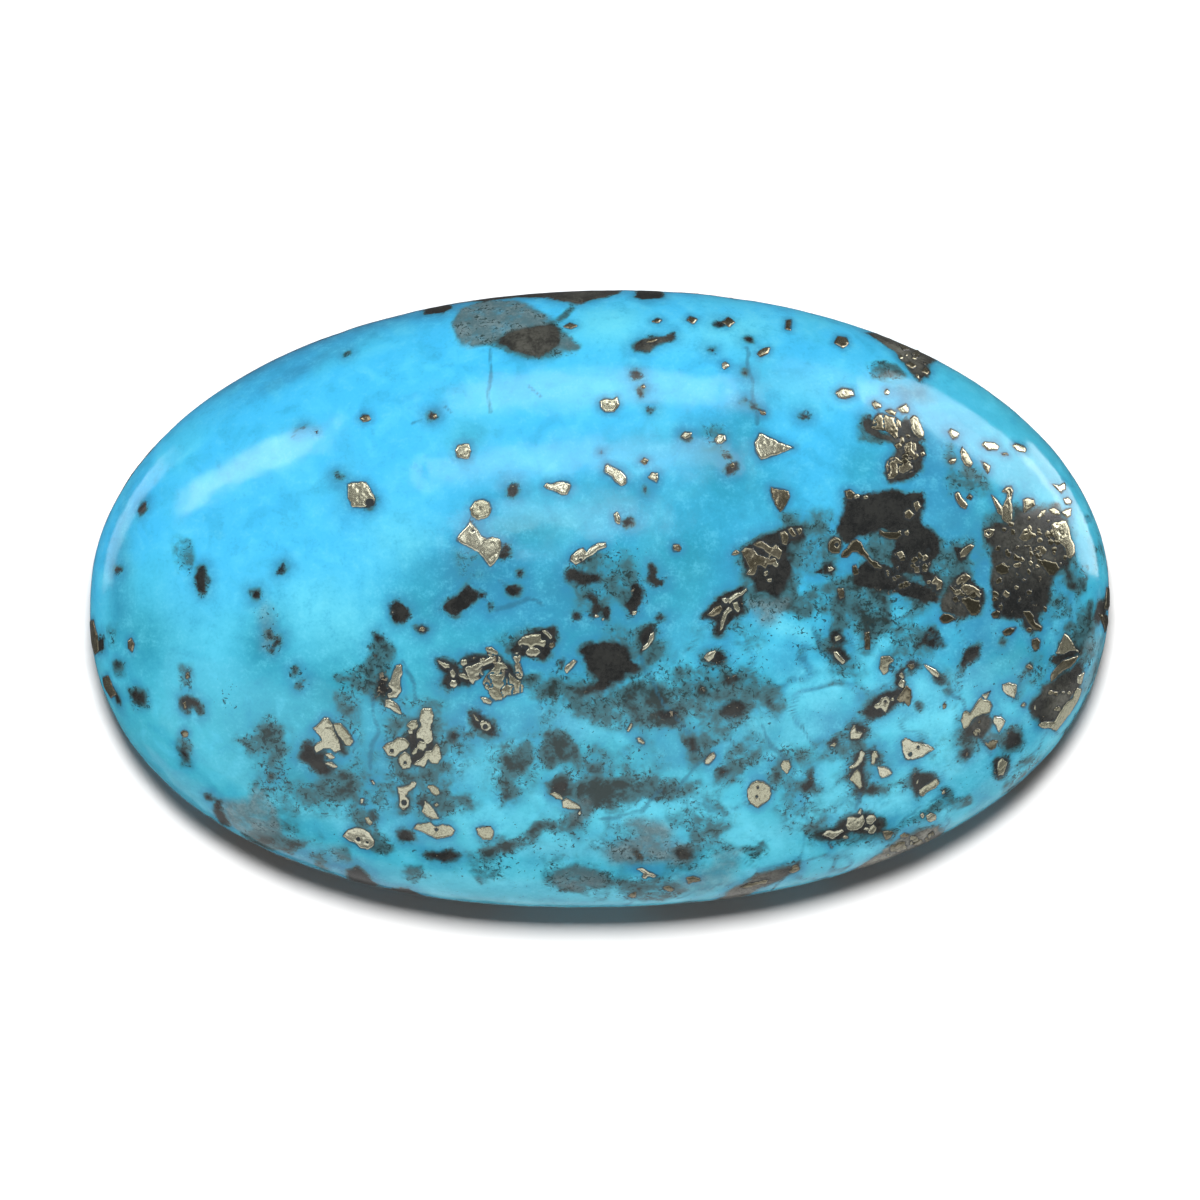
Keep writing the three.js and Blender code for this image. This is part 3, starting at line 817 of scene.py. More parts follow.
def fold(flat):
    """Points of the unfolded plane, put back on the dome, the girdle and the bevel."""
    direction = np.arctan2(flat[:, 1], flat[:, 0])
    edge = reach(direction)
    share = np.hypot(flat[:, 0], flat[:, 1]) / edge
    spread = np.interp(share, DOME_PATH, DOME_SPREAD)
    rise = np.interp(share, DOME_PATH, DOME_RISE)
    past = np.maximum(share - DOME_END, 0) * edge
    radius = edge * spread - np.interp(past, BEVEL_PATH, BEVEL_INSET)
    x, y = radius * np.cos(direction), radius * np.sin(direction)
    wave = (
        WAVE_DEPTH * rise * (1 - rise)
        * np.sin(2 * math.pi * (x + WAVE_SLANT * y) / WAVE_LENGTH_X)
        * np.cos(2 * math.pi * (y - WAVE_SLANT * x) / WAVE_LENGTH_Y)
    )
    z = GIRDLE_HEIGHT + (HEIGHT - GIRDLE_HEIGHT) * rise + wave
    return np.column_stack([x, y, z - np.interp(past, BEVEL_PATH, BEVEL_DROP)])


def dome_surface(flat):
    """Places on the dome and side for unfolded points, with the directions square to them."""
    step = 0.01
    across = fold(flat + (step, 0)) - fold(flat - (step, 0))
    along = fold(flat + (0, step)) - fold(flat - (0, step))
    normal = np.cross(across, along)
    return fold(flat), normal / np.linalg.norm(normal, axis=1)[:, None]


def back_surface(flat):
    """The same for the flat back, whose plane needs no unfolding."""
    places = np.column_stack([flat, np.zeros(len(flat))])
    return places, np.tile([0.0, 0.0, -1.0], (len(flat), 1))


def photo_points(text):
    """The points of an outline or line, from photo pixels to millimetres seen from above."""
    pixels = np.array([pair.split(",") for pair in text.split()], float)
    offset = (pixels - (STONE_MIDDLE_X, STONE_MIDDLE_Y)) * PIXEL
    return offset * (1, -1)


def line_distance(points, start, end):
    """How far points are from the straight line between two others."""
    along = end - start
    t = np.clip((points - start) @ along / (along @ along), 0, 1)
    return np.linalg.norm(points - start - t[:, None] * along, axis=1)


def inside_distance(points, outline):
    """How far points lie inside an outline. Outside it the distance is negative."""
    nearest = np.full(len(points), np.inf)
    inside = np.zeros(len(points), bool)
    for start, end in zip(outline, np.roll(outline, -1, axis=0)):
        nearest = np.minimum(nearest, line_distance(points, start, end))
        rise = end[1] - start[1]
        if rise:
            beside = start[0] + (points[:, 1] - start[1]) * (end[0] - start[0]) / rise
            crosses = (start[1] > points[:, 1]) != (end[1] > points[:, 1])
            inside ^= crosses & (points[:, 0] < beside)
    return np.where(inside, nearest, -nearest)


# Distances are only worked out this near to a shape. Farther off they count as this much
FAR = 1.0


def near_distance(points, outline):
    """inside_distance for the points near the outline, and -FAR for all others."""
    low, high = outline.min(axis=0) - FAR, outline.max(axis=0) + FAR
    near = np.all((points > low) & (points < high), axis=1)
    distance = np.full(len(points), -FAR)
    distance[near] = np.maximum(inside_distance(points[near], outline), -FAR)
    return distance


def patch_strength(points, shapes):
    """Soft-edged patches laid over each other, from 0 to 1."""
    left = np.ones(len(points))
    for strength, softness, text in shapes:
        half = softness * PIXEL
        distance = near_distance(points, unfold(photo_points(text)))
        left *= 1 - strength * smooth(distance, -half, half)
    return 1 - left


def zone_strength(points, zones):
    """Wide oval zones that fade outward, from 0 to 1."""
    left = np.ones(len(points))
    for x, y, long_reach, short_reach, tilt, strength in zones:
        middle = unfold(photo_points(f"{x},{y}"))[0]
        offset = (points - middle) @ turn(-math.radians(tilt))
        offset = offset / (np.array([long_reach, short_reach]) * PIXEL)
        left *= 1 - strength * np.exp(-np.sum(offset ** 2, axis=1))
    return 1 - left


def grid_faces(columns, rows):
    """Quads of a grid whose points are numbered row by row, turned counter-clockwise."""
    corner = (np.arange(rows)[:, None] * (columns + 1) + np.arange(columns)).ravel()
    return np.column_stack([corner, corner + 1, corner + columns + 2, corner + columns + 1])


def grid_rim(columns, rows):
    """The numbers of the grid's outermost points, counter-clockwise from the low corner."""
    index = np.arange((columns + 1) * (rows + 1)).reshape(rows + 1, columns + 1)
    return np.concatenate([index[0, :-1], index[:-1, -1], index[-1, :0:-1], index[:0:-1, 0]])


def oval_grid(columns, rows):
    """A grid spread evenly over an oval: each point's direction, and its share of the reach."""
    a, b = np.meshgrid(np.linspace(-1, 1, columns + 1), np.linspace(-1, 1, rows + 1))
    a, b = a.ravel(), b.ravel()
    wide = np.abs(a) > np.abs(b)
    share = np.where(wide, a, b)
    safe = np.where(share == 0, 1, share)
    angle = np.where(wide, math.pi / 4 * b / safe, math.pi / 2 - math.pi / 4 * a / safe)
    angle = angle + np.where(share < 0, math.pi, 0)
    return np.arctan2(*reversed(oval_point(angle))), np.abs(share)


def make_mesh(name, points, faces, fields, material):
    """A smooth mesh from points in millimetres, with one number per point for each field."""
    mesh = bpy.data.meshes.new(name)
    mesh.from_pydata((points * MM).tolist(), [], faces)
    mesh.shade_smooth()
    for field, values in fields.items():
        attribute = mesh.attributes.new(field, "FLOAT", "POINT")
        attribute.data.foreach_set("value", values.astype(np.float32))
    mesh.materials.append(material)
    piece = bpy.data.objects.new(name, mesh)
    bpy.context.scene.collection.objects.link(piece)
    return piece


# Numbers of a Mix node's sockets when it mixes colours
MIX_SHARE, MIX_COLOUR_A, MIX_COLOUR_B, MIX_RESULT = 0, 6, 7, 2


class Shader:
    """Short ways to add nodes to a material."""

    def __init__(self, name):
        self.material = bpy.data.materials.new(name)
        self.material.use_nodes = True
        self.nodes = self.material.node_tree.nodes
        self.links = self.material.node_tree.links
        self.skin = self.nodes["Principled BSDF"]
        self.place = self.nodes.new("ShaderNodeTexCoord").outputs["Object"]

    def feed(self, value, socket):
        """A link from another node, or a constant on the socket itself."""
        if isinstance(value, bpy.types.NodeSocket):
            self.links.new(value, socket)
        else:
            socket.default_value = value

    def set(self, socket, value):
        self.feed(value, self.skin.inputs[socket])

    def field(self, name):
        """One of the numbers that the mesh carries at each point."""
        node = self.nodes.new("ShaderNodeAttribute")
        node.attribute_name = name
        return node.outputs["Fac"]

    def noise(self, size, detail=3.0, roughness=0.55, distortion=0.0):
        """Noise from 0 to 1 with patches of about the given size in millimetres."""
        node = self.nodes.new("ShaderNodeTexNoise")
        self.feed(self.place, node.inputs["Vector"])
        node.inputs["Scale"].default_value = 1 / (size * MM)
        node.inputs["Detail"].default_value = detail
        node.inputs["Roughness"].default_value = roughness
        node.inputs["Distortion"].default_value = distortion
        return node.outputs["Fac"]

    def math(self, operation, a, b=0.0):
        node = self.nodes.new("ShaderNodeMath")
        node.operation = operation
        self.feed(a, node.inputs[0])
        self.feed(b, node.inputs[1])
        return node.outputs[0]

    def times(self, a, b):
        return self.math("MULTIPLY", a, b)

    def plus(self, a, b):
        return self.math("ADD", a, b)

    def centred(self, noise):
        """Noise from -0.5 to 0.5."""
        return self.math("SUBTRACT", noise, 0.5)

    def step(self, value, low, high, to_low=0.0, to_high=1.0):
        """A smooth rise from to_low to to_high while the value goes from low to high."""
        node = self.nodes.new("ShaderNodeMapRange")
        node.interpolation_type = "SMOOTHSTEP"
        for socket, number in zip(node.inputs, (value, low, high, to_low, to_high)):
            self.feed(number, socket)
        return node.outputs[0]

    def mix(self, share, a, b):
        """From colour a at share 0 to colour b at share 1."""
        node = self.nodes.new("ShaderNodeMix")
        node.data_type = "RGBA"
        self.feed(share, node.inputs[MIX_SHARE])
        for colour, number in ((a, MIX_COLOUR_A), (b, MIX_COLOUR_B)):
            linked = isinstance(colour, bpy.types.NodeSocket)
            self.feed(colour if linked else (*colour, 1), node.inputs[number])
        return node.outputs[MIX_RESULT]

    def bump(self, height, distance):
        """Relief of the given depth in millimetres, in the shading alone."""
        node = self.nodes.new("ShaderNodeBump")
        node.inputs["Strength"].default_value = 1.0
        node.inputs["Distance"].default_value = distance * MM
        self.feed(height, node.inputs["Height"])
        self.feed(node.outputs["Normal"], self.skin.inputs["Normal"])


# Colours of the stone, as linear red, green and blue
SKY_BLUE, WARM_BLUE = (0.045, 0.45, 0.78), (0.050, 0.41, 0.54)
BROAD_BLUE = (0.060, 0.50, 0.68)
LIGHT_CLOUD, DARK_CLOUD = (0.10, 0.60, 0.82), (0.02, 0.30, 0.50)
MILKY_AND_SHEEN_BLUE, GREEN_BLUE, DEEP_AND_SHADE_BLUE = (0.12, 0.60, 0.76), (0.014, 0.235, 0.32), (0.026, 0.185, 0.34)
LIGHT_MOTTLE, DARK_MOTTLE = (0.15, 0.62, 0.78), (0.02, 0.24, 0.42)
HAZE_TEAL, HAZE_DARK, HAZE_BLACK = (0.030, 0.205, 0.270), (0.038, 0.115, 0.135), (0.020, 0.034, 0.034)
DARK_GREY, LIGHT_GREY = (0.08, 0.15, 0.17), (0.16, 0.24, 0.26)
THREAD_BLACK, SPECK_BLACK = (0.012, 0.028, 0.026), (0.012, 0.03, 0.035)
CRACK_BLUE = (0.02, 0.12, 0.19)
ROCK_BLACK, ROCK_GREY = (0.007, 0.008, 0.008), (0.022, 0.023, 0.021)
DARK_OLIVE, LIGHT_OLIVE = (0.075, 0.073, 0.058), (0.25, 0.25, 0.205)
SPECK_TAN = (0.20, 0.17, 0.115)
SEAM_BLACK = (0.020, 0.028, 0.032)

STONE_IOR = 1.5
GROUND_ROUGHNESS = 0.42
STONE_RELIEF = 0.012


def turquoise_material():
    s = Shader("turquoise")
    broad = s.noise(2.6, 2, 0.5)
    cloudy = s.noise(0.9, 3, 0.55, 0.5)
    mottle = s.noise(0.45, 4, 0.6)
    grainy = s.noise(0.09, 2, 0.7)
    uneven = s.plus(s.times(mottle, 0.6), s.times(grainy, 0.4))

    # The blue itself: sky blue to greenish, with milky and deep parts, finely mottled. The milky
    # parts also hold painted reflections, and the deep parts painted shade along the rim
    blue = s.mix(s.field("warmth"), SKY_BLUE, WARM_BLUE)
    blue = s.mix(s.step(broad, 0.4, 0.7, 0, 0.5), blue, BROAD_BLUE)
    blue = s.mix(s.step(cloudy, 0.50, 0.68, 0, 0.30), blue, LIGHT_CLOUD)
    blue = s.mix(s.step(cloudy, 0.48, 0.32, 0, 0.30), blue, DARK_CLOUD)
    milky_and_painted_sheen = s.times(s.field("milky_and_painted_sheen"), s.step(uneven, 0.3, 0.7, 0.6, 1.0))
    blue = s.mix(milky_and_painted_sheen, blue, MILKY_AND_SHEEN_BLUE)
    deep_and_painted_shade = s.times(s.field("deep_and_painted_shade"), s.step(uneven, 0.3, 0.7, 1.0, 0.7))
    green = s.times(s.field("green"), s.step(uneven, 0.3, 0.7, 1.0, 0.75))
    blue = s.mix(green, blue, GREEN_BLUE)
    blue = s.mix(deep_and_painted_shade, blue, DEEP_AND_SHADE_BLUE)
    blue = s.mix(s.step(uneven, 0.5, 0.70, 0, 0.24), blue, LIGHT_MOTTLE)
    blue = s.mix(s.step(uneven, 0.5, 0.30, 0, 0.30), blue, DARK_MOTTLE)

    # Matrix under the surface: teal where it is deep down, nearly black where it almost shows
    blot = s.noise(0.5, 3, 0.6, 0.2)
    crumbs = s.noise(0.12, 2, 0.6, 0.6)
    dim = s.field("dim")
    hazy = s.step(dim, 0.05, 0.35)
    texture = s.times(s.centred(blot), 1.9)
    texture = s.plus(texture, s.times(s.centred(crumbs), 0.25))
    haze = s.plus(dim, s.times(texture, hazy))
    blue = s.mix(s.step(haze, 0.0, 0.40, 0, 0.65), blue, HAZE_TEAL)
    blue = s.mix(s.step(haze, 0.25, 0.70, 0, 0.95), blue, HAZE_DARK)
    blue = s.mix(s.step(haze, 0.65, 1.05), blue, HAZE_BLACK)
    grey_tone = s.mix(s.step(uneven, 0.4, 0.65), DARK_GREY, LIGHT_GREY)
    grey = s.times(s.field("grey"), s.step(blot, 0.3, 0.6, 0.7, 1.1))
    blue = s.mix(grey, blue, grey_tone)

    # Black branching threads where the haze thins out
    strand = s.math("ABSOLUTE", s.centred(s.noise(0.30, 3, 0.65, 0.7)))
    margin = s.times(s.step(dim, 0.10, 0.35), s.step(dim, 1.0, 0.75, 0.3, 1.0))
    threads = s.times(s.step(strand, 0.045, 0.020), s.step(mottle, 0.46, 0.54))
    threads = s.times(s.times(threads, margin), s.step(crumbs, 0.42, 0.5))
    blue = s.mix(s.times(threads, 0.85), blue, THREAD_BLACK)

    # Tiny specks, crowded in some zones: black on the blue, tan on the matrix
    pepper = s.field("pepper")
    crowded = s.plus(crumbs, s.times(pepper, 0.17))
    speck = s.times(s.step(crowded, 0.72, 0.76), s.step(pepper, 0.02, 0.25))
    blue = s.mix(s.times(speck, 0.85), blue, SPECK_BLACK)

    # Healed cracks
    wander = s.times(s.centred(mottle), 0.12)
    crack = s.step(s.plus(s.field("vein"), wander), 0.10, 0.01)
    blue = s.mix(s.times(crack, 0.6), blue, CRACK_BLUE)

    # Matrix at the surface, with an uneven edge, and a dark seam around the pyrite
    ragged = s.times(s.centred(s.noise(0.16, 3, 0.65)), 0.2)
    blur = s.step(cloudy, 0.45, 0.6, -0.05, -0.16)
    full = s.step(s.field("warmth"), 0.3, 1.0, 0.035, 0.10)
    rocky = s.step(s.plus(s.field("rock"), ragged), blur, full)
    rock_tone = s.mix(s.step(uneven, 0.35, 0.65), ROCK_BLACK, ROCK_GREY)
    olive = s.mix(s.step(uneven, 0.35, 0.65), DARK_OLIVE, LIGHT_OLIVE)
    rock_tone = s.mix(s.field("olive"), rock_tone, olive)
    rock_tone = s.mix(s.times(speck, 0.8), rock_tone, SPECK_TAN)
    colour = s.mix(rocky, blue, rock_tone)
    seam = s.step(s.field("ore"), -0.07, -0.01)
    s.set("Base Color", s.mix(s.times(seam, 0.7), colour, SEAM_BLACK))

    # The polish is a little duller on the matrix, and the back is only ground
    polish = s.step(broad, 0.3, 0.7, 0.12, 0.17)
    polish = s.plus(polish, s.times(rocky, 0.10))
    s.set("Roughness", s.math("MAXIMUM", polish, s.times(s.field("ground"), GROUND_ROUGHNESS)))
    s.skin.inputs["IOR"].default_value = STONE_IOR
    waviness = s.plus(s.times(broad, 0.9), s.times(grainy, 0.10))
    rough_back = s.times(s.times(mottle, s.field("ground")), 0.8)
    s.bump(s.plus(waviness, rough_back), STONE_RELIEF)
    return s.material


# Colours of the pyrite in the same way. The rind is the dark edge around each grain
METAL_GREY, METAL_PALE, METAL_PATCH = (0.52, 0.52, 0.38), (0.74, 0.74, 0.58), (0.44, 0.43, 0.31)
DARK_BROWN, LIGHT_BROWN = (0.20, 0.18, 0.12), (0.38, 0.35, 0.25)
TARNISH_AND_SHADE_BROWN, DENT_BROWN, FISSURE_BROWN = (0.10, 0.092, 0.062), (0.12, 0.11, 0.07), (0.09, 0.08, 0.05)
RIND_BLACK = (0.018, 0.018, 0.018)

METAL_SHARE = 0.88
PYRITE_RELIEF = 0.010


def pyrite_material():
    s = Shader("pyrite")
    dull_and_shade, tone = s.field("dull_and_shade"), s.field("tone")
    fine = s.noise(0.05, 3, 0.7)
    broad = s.noise(0.28, 3, 0.6)
    bright = s.mix(tone, METAL_GREY, METAL_PALE)
    bright = s.mix(s.step(broad, 0.4, 0.7, 0, 0.4), bright, METAL_PATCH)
    brown = s.mix(s.step(broad, 0.35, 0.65), DARK_BROWN, LIGHT_BROWN)
    # Dull grains turn brown. Grains toward the upper right are darkened further by this brown and the darkest
    # brown below: painted shade
    metal = s.mix(dull_and_shade, bright, brown)
    metal = s.mix(s.step(dull_and_shade, 0.9, 1.9), metal, TARNISH_AND_SHADE_BROWN)
    metal = s.mix(s.step(fine, 0.60, 0.70, 0, 0.25), metal, DENT_BROWN)
    fissure = s.math("ABSOLUTE", s.centred(s.noise(0.17, 2, 0.6, 1.5)))
    metal = s.mix(s.step(fissure, 0.030, 0.008, 0, 0.5), metal, FISSURE_BROWN)
    face = s.step(s.field("edge"), -0.012, 0.010)
    s.set("Base Color", s.mix(face, RIND_BLACK, metal))
    s.set("Metallic", s.times(face, METAL_SHARE))
    s.set("Roughness", s.step(fine, 0.35, 0.7, 0.15, 0.27))
    s.bump(s.plus(s.times(fine, 0.09), s.times(broad, 0.35)), PYRITE_RELIEF)
    return s.material


def unfolded(text):
    """The points of an outline or line in the photo, in the unfolded plane."""
    return unfold(photo_points(text))


CHIP_CORNERS = 6


def chip_outline(x, y, length, width, tilt, rng):
    """A small grain as an outline: an oval with uneven corners, given in photo pixels."""
    angle = np.linspace(0, 2 * math.pi, CHIP_CORNERS, endpoint=False)
    angle = angle + rng.uniform(-0.4, 0.4, CHIP_CORNERS)
    size = rng.uniform(0.7, 1.25, (CHIP_CORNERS, 1)) / 2
    chip = np.column_stack([np.cos(angle) * length, np.sin(angle) * width]) * size * PIXEL
    return unfold(photo_points(f"{x},{y}") + chip @ turn(math.radians(tilt)))


# The marks listed above, read once and unfolded. Grains: outline, dullness, eaten or not
MARK_SEED = 5
mark_rng = np.random.default_rng(MARK_SEED)
grain_lists = (
    (BRIGHT_GRAINS, 0.0, False),
    (DULL_GRAINS, 1.0, False),
    (WORMY_GRAINS, 0.2, True),
)
grains = [
    (unfolded(text), dull_and_shade, wormy)
    for outlines, dull_and_shade, wormy in grain_lists
    for text in outlines
]
grains += [
    (chip_outline(*chip, mark_rng), dull_and_shade, False)
    for chips, dull_and_shade in ((BRIGHT_CHIPS, 0.0), (DULL_CHIPS, 1.0))
    for chip in chips
]
hole_discs = [(unfolded(f"{x},{y}")[0], radius * PIXEL) for x, y, radius in HOLES]
matrix_outlines = [unfolded(text) for text in DARK_MATRIX]
matrix_outlines += [chip_outline(*spot, mark_rng) for spot in DARK_SPOTS]


def matrix_depth(points):
    """How far points lie inside the matrix, in millimetres."""
    return np.max([near_distance(points, outline) for outline in matrix_outlines], axis=0)


# Grains toward the upper right are painted with shade, a darker brown, but not close to the rim:
# by how much, where this sets in and where it is full, and the same for the rim along a slanting line
PAINTED_GRAIN_SHADE = 0.8
PAINTED_SHADE_X, PAINTED_SHADE_Y = (4.5, 9.0), (-3.0, -0.5)
RIM_SLANT, NEAR_RIM = 0.55, (10.6, 11.1)


def dullness_with_painted_shade(outline, dull_and_shade):
    """The dullness of a grain, with painted shade added: those toward the upper right are darker, but for its
    rim.
    """
    x, y = outline.mean(axis=0)
    near_rim = smooth(y + RIM_SLANT * x, *NEAR_RIM)
    return dull_and_shade + PAINTED_GRAIN_SHADE * smooth(x, *PAINTED_SHADE_X) * smooth(y, *PAINTED_SHADE_Y) * (1 - near_rim)


# Grains too small to place one by one, strewn over the matrix of crumbly zones, and kept
# where they lie at least this far inside it
STREWN_INSIDE = 0.03
for x, y, long_reach, short_reach, count in CRUMBLY_ZONES:
    spots = mark_rng.normal(0, 0.5, (4 * count, 2)) * (long_reach, short_reach) + (x, y)
    text = " ".join(f"{spot_x},{spot_y}" for spot_x, spot_y in spots)
    on_matrix = matrix_depth(unfolded(text)) > STREWN_INSIDE
    for spot_x, spot_y in spots[on_matrix][:count]:
        length = mark_rng.uniform(2.5, 8)
        width = length * mark_rng.uniform(0.5, 1)
        tilt = mark_rng.uniform(0, 180)
        chip = chip_outline(spot_x, spot_y, length, width, tilt, mark_rng)
        grains.append((chip, mark_rng.uniform(0.3, 1.2), False))

# Off the polished face the photo shows nothing: matrix goes on there as random patches
WILD_SEED = 40
WILD_PATCH = 3.4
WILD_LEVEL = 0.34
WILD_SLOPE = 1.1


def wild_rock(places):
    """How far places lie inside the random matrix patches, in millimetres."""
    return (cloud(places, WILD_PATCH, WILD_SEED, 4) - WILD_LEVEL) * WILD_SLOPE


def wild_haze(wild):
    """The haze under the surface around those patches."""
    return 0.8 * smooth(wild, -0.45, 0.1)


def wild_pepper(wild):
    """The tiny specks around them."""
    return 0.5 * smooth(wild, -0.6, 0.0)


def laid_over(*layers):
    """Layers of strength 0 to 1 laid over each other."""
    left = 1.0
    for layer in layers:
        left = left * (1 - layer)
    return 1 - left


def patchy(points, size, seed, octaves, low, high):
    """Soft random patches in the plane, from 0 to 1, where the noise goes from low to high."""
    return smooth(flat_cloud(points, size, seed, octaves), low, high)


def vein_distance(points):
    """How far points are from the nearest healed crack, in millimetres."""
    nearest = np.full(len(points), FAR)
    for text in VEINS:
        line = unfolded(text)
        for start, end in zip(line, line[1:]):
            nearest = np.minimum(nearest, line_distance(points, start, end))
    return nearest


# The peppered zones fade over this much on either side of their outlines
PEPPER_FADE = 0.25


def pepper_density(points):
    """How densely points are peppered with tiny specks, from 0 to 1."""
    density = np.zeros(len(points))
    for most, text in PEPPERED:
        distance = near_distance(points, unfolded(text))
        density = np.maximum(density, most * smooth(distance, -PEPPER_FADE, PEPPER_FADE))
    return density


def olive_share(flat):
    """How far the matrix is lighter and olive."""
    olive = np.zeros(len(flat))
    for x, y, extent, strength in PALE_ROCK:
        offset = np.linalg.norm(flat - unfolded(f"{x},{y}")[0], axis=1)
        olive = np.maximum(olive, strength * np.exp(-(offset / (extent * PIXEL)) ** 2))
    return olive


def painted_rim_shade(flat):
    """How strongly painted shade darkens the blue along parts of the dome's edge."""
    heading = np.degrees(np.arctan2(flat[:, 1], flat[:, 0])) % 360
    outward = np.hypot(flat[:, 0], flat[:, 1]) / reach(np.radians(heading)) / DOME_END
    shade = np.zeros(len(flat))
    for start, end, strength in PAINTED_RIM_SHADES:
        along = smooth(heading, start, start + RIM_FADE) * smooth(heading, end, end - RIM_FADE)
        shade = np.maximum(shade, strength * along)
    return shade * smooth(outward, RIM_START, 1.0)


# All marks but the grains are drawn a little off their outlines, so that no edge is straight
EDGE_DRIFT, DRIFT_SIZE, DRIFT_SEEDS = 0.07, 0.5, (3, 9)
# Matrix shows this far around the holes in grains
HOLE_RIM = 0.03


def stone_fields(flat, places, off_face):
    """All the numbers that the stone's material reads, for points of the unfolded plane."""
    drift = np.column_stack([flat_cloud(flat, DRIFT_SIZE, seed) for seed in DRIFT_SEEDS])
    moved = flat + drift * EDGE_DRIFT
    rock = matrix_depth(moved)
    for middle, radius in hole_discs:
        rock = np.maximum(rock, radius + HOLE_RIM - np.linalg.norm(flat - middle, axis=1))
    ore = np.max([near_distance(flat, outline) for outline, _, _ in grains], axis=0)
    wild = wild_rock(places)
    rock = np.maximum(rock, np.where(off_face > 0, wild - 0.6 * (1 - off_face), -FAR))

    # The lower right of the stone is full of drifting haze, the upper left is clear
    milky_and_painted_sheen = zone_strength(moved, MILKY_AND_SHEEN_ZONES)
    lower_right = smooth(0.35 * flat[:, 0] - flat[:, 1], 0, 4)
    clouded = lower_right * (1 - 0.7 * milky_and_painted_sheen)
    drifting = 0.4 * clouded * patchy(moved, 1.5, 31, 4, 0.1, 0.9)
    shaded = 0.45 * clouded * patchy(moved, 1.9, 37, 4, 0.0, 0.9)
    pale = 0.7 * clouded * patchy(moved, 1.3, 43, 3, 0.0, 0.8)
    line = 1 - np.abs(flat_cloud(moved, 1.7, 51)) / WEB_WIDTH
    web = smooth(line, 0, 1) * clouded * smooth(flat[:, 0], -6, 6)

    # The blue darkens next to matrix and pyrite, less so where it is milky
    clear = 1 - 0.5 * milky_and_painted_sheen
    around_rock = 0.65 * smooth(rock, -0.20, 0.05)
    near_rock = 0.7 * clear * smooth(rock, -0.55, 0.0)
    near_ore = 0.8 * clear * smooth(ore, -0.30, 0.0)
    return {
        "rock": rock,
        "ore": ore,
        "dim": laid_over(
            patch_strength(moved, DIM_PATCHES),
            around_rock,
            drifting,
            0.3 * web,
            wild_haze(wild) * off_face,
        ),
        "grey": patch_strength(moved, GREY_PATCHES),
        # Painted reflections of lights are part of the milky share
        "milky_and_painted_sheen": laid_over(milky_and_painted_sheen, pale),
        "green": zone_strength(moved, GREEN_ZONES),
        # The deep share holds painted shade along the rim as well as deeper blue
        "deep_and_painted_shade": laid_over(
            zone_strength(moved, DEEP_AND_SHADE_ZONES),
            near_rock,
            near_ore,
            shaded,
            painted_rim_shade(flat),
            0.7 * web,
        ),
        "warmth": np.maximum(smooth(-flat[:, 1], -2, 4), 0.8 * smooth(flat[:, 0], 6, 14)),
        "pepper": np.max(
            [pepper_density(moved), 0.20 * lower_right, off_face * wild_pepper(wild)], axis=0
        ),
        "vein": vein_distance(moved),
        "olive": np.clip(np.maximum(olive_share(flat), 0.5 * off_face), 0, 1),
    }


# The stone: a fine grid over dome, side and bevel, a coarse one on the back, and a seam
# that joins each edge of the coarse grid to four of the fine one
FINE_COLUMNS, FINE_ROWS = 380, 236
FINE_PER_COARSE = 4
BACK_MARGIN = 0.06
# The photo's marks end at the edge of the face. Random ones take over from just inside it
FACE_FADE = (0.975 * DOME_END, DOME_END + 0.02)
# The polish ends where the bevel runs into the ground back: heights above it
POLISH_END, GROUND_START = 0.5, 0.05
# How uneven the polish is, and how far the softer matrix is polished away
POLISH_WAVE, POLISH_WAVE_SIZE, POLISH_SEED = 0.012, 1.5, 60
MATRIX_DIP, MATRIX_DIP_EDGE = 0.008, 0.1

direction, share = oval_grid(FINE_COLUMNS, FINE_ROWS)
whole_path = DOME_END * reach(direction) + BEVEL_LENGTH
flat = unit(direction) * (share * whole_path)[:, None]
places, normals = dome_surface(flat)
off_face = smooth(share * whole_path / reach(direction), *FACE_FADE)
fields = stone_fields(flat, places, off_face)
fields["ground"] = smooth(places[:, 2], POLISH_END, GROUND_START)
wave = POLISH_WAVE * flat_cloud(flat, POLISH_WAVE_SIZE, POLISH_SEED)
dip = MATRIX_DIP * np.clip(fields["rock"] / MATRIX_DIP_EDGE, 0, 1)
depth = (SKIN_DEPTH + np.abs(wave + dip)) * np.clip(places[:, 2] / POLISH_END, 0, 1)
top_points = places - normals * depth[:, None]

coarse_columns, coarse_rows = FINE_COLUMNS // FINE_PER_COARSE, FINE_ROWS // FINE_PER_COARSE
direction, share = oval_grid(coarse_columns, coarse_rows)
back_reach = reach(direction) - BACK_BEVEL - BACK_MARGIN
back_flat = unit(direction) * (share * back_reach)[:, None]
back_points, _ = back_surface(back_flat)
wild = wild_rock(back_points)
nothing = np.zeros(len(back_points))
back_fields = {
    "rock": wild,
    "ore": nothing - FAR,
    "dim": wild_haze(wild),
    "grey": 0.5 * patchy(back_flat, 4.0, 71, 3, 0.15, 0.7),
    "milky_and_painted_sheen": 0.6 * patchy(back_flat, 5.0, 75, 3, 0.1, 0.8),
    "green": 0.6 * patchy(back_flat, 4.5, 87, 3, 0.1, 0.8),
    "deep_and_painted_shade": 0.6 * patchy(back_flat, 4.0, 79, 3, 0.1, 0.8),
    "warmth": smooth(-back_flat[:, 1], -2.5, 4.5),
    "pepper": wild_pepper(wild),
    "vein": np.abs(flat_cloud(back_flat, 7.0, 83, 2)) * 2.5,
    "olive": nothing + 0.5,
    "ground": nothing + 1.0,
}

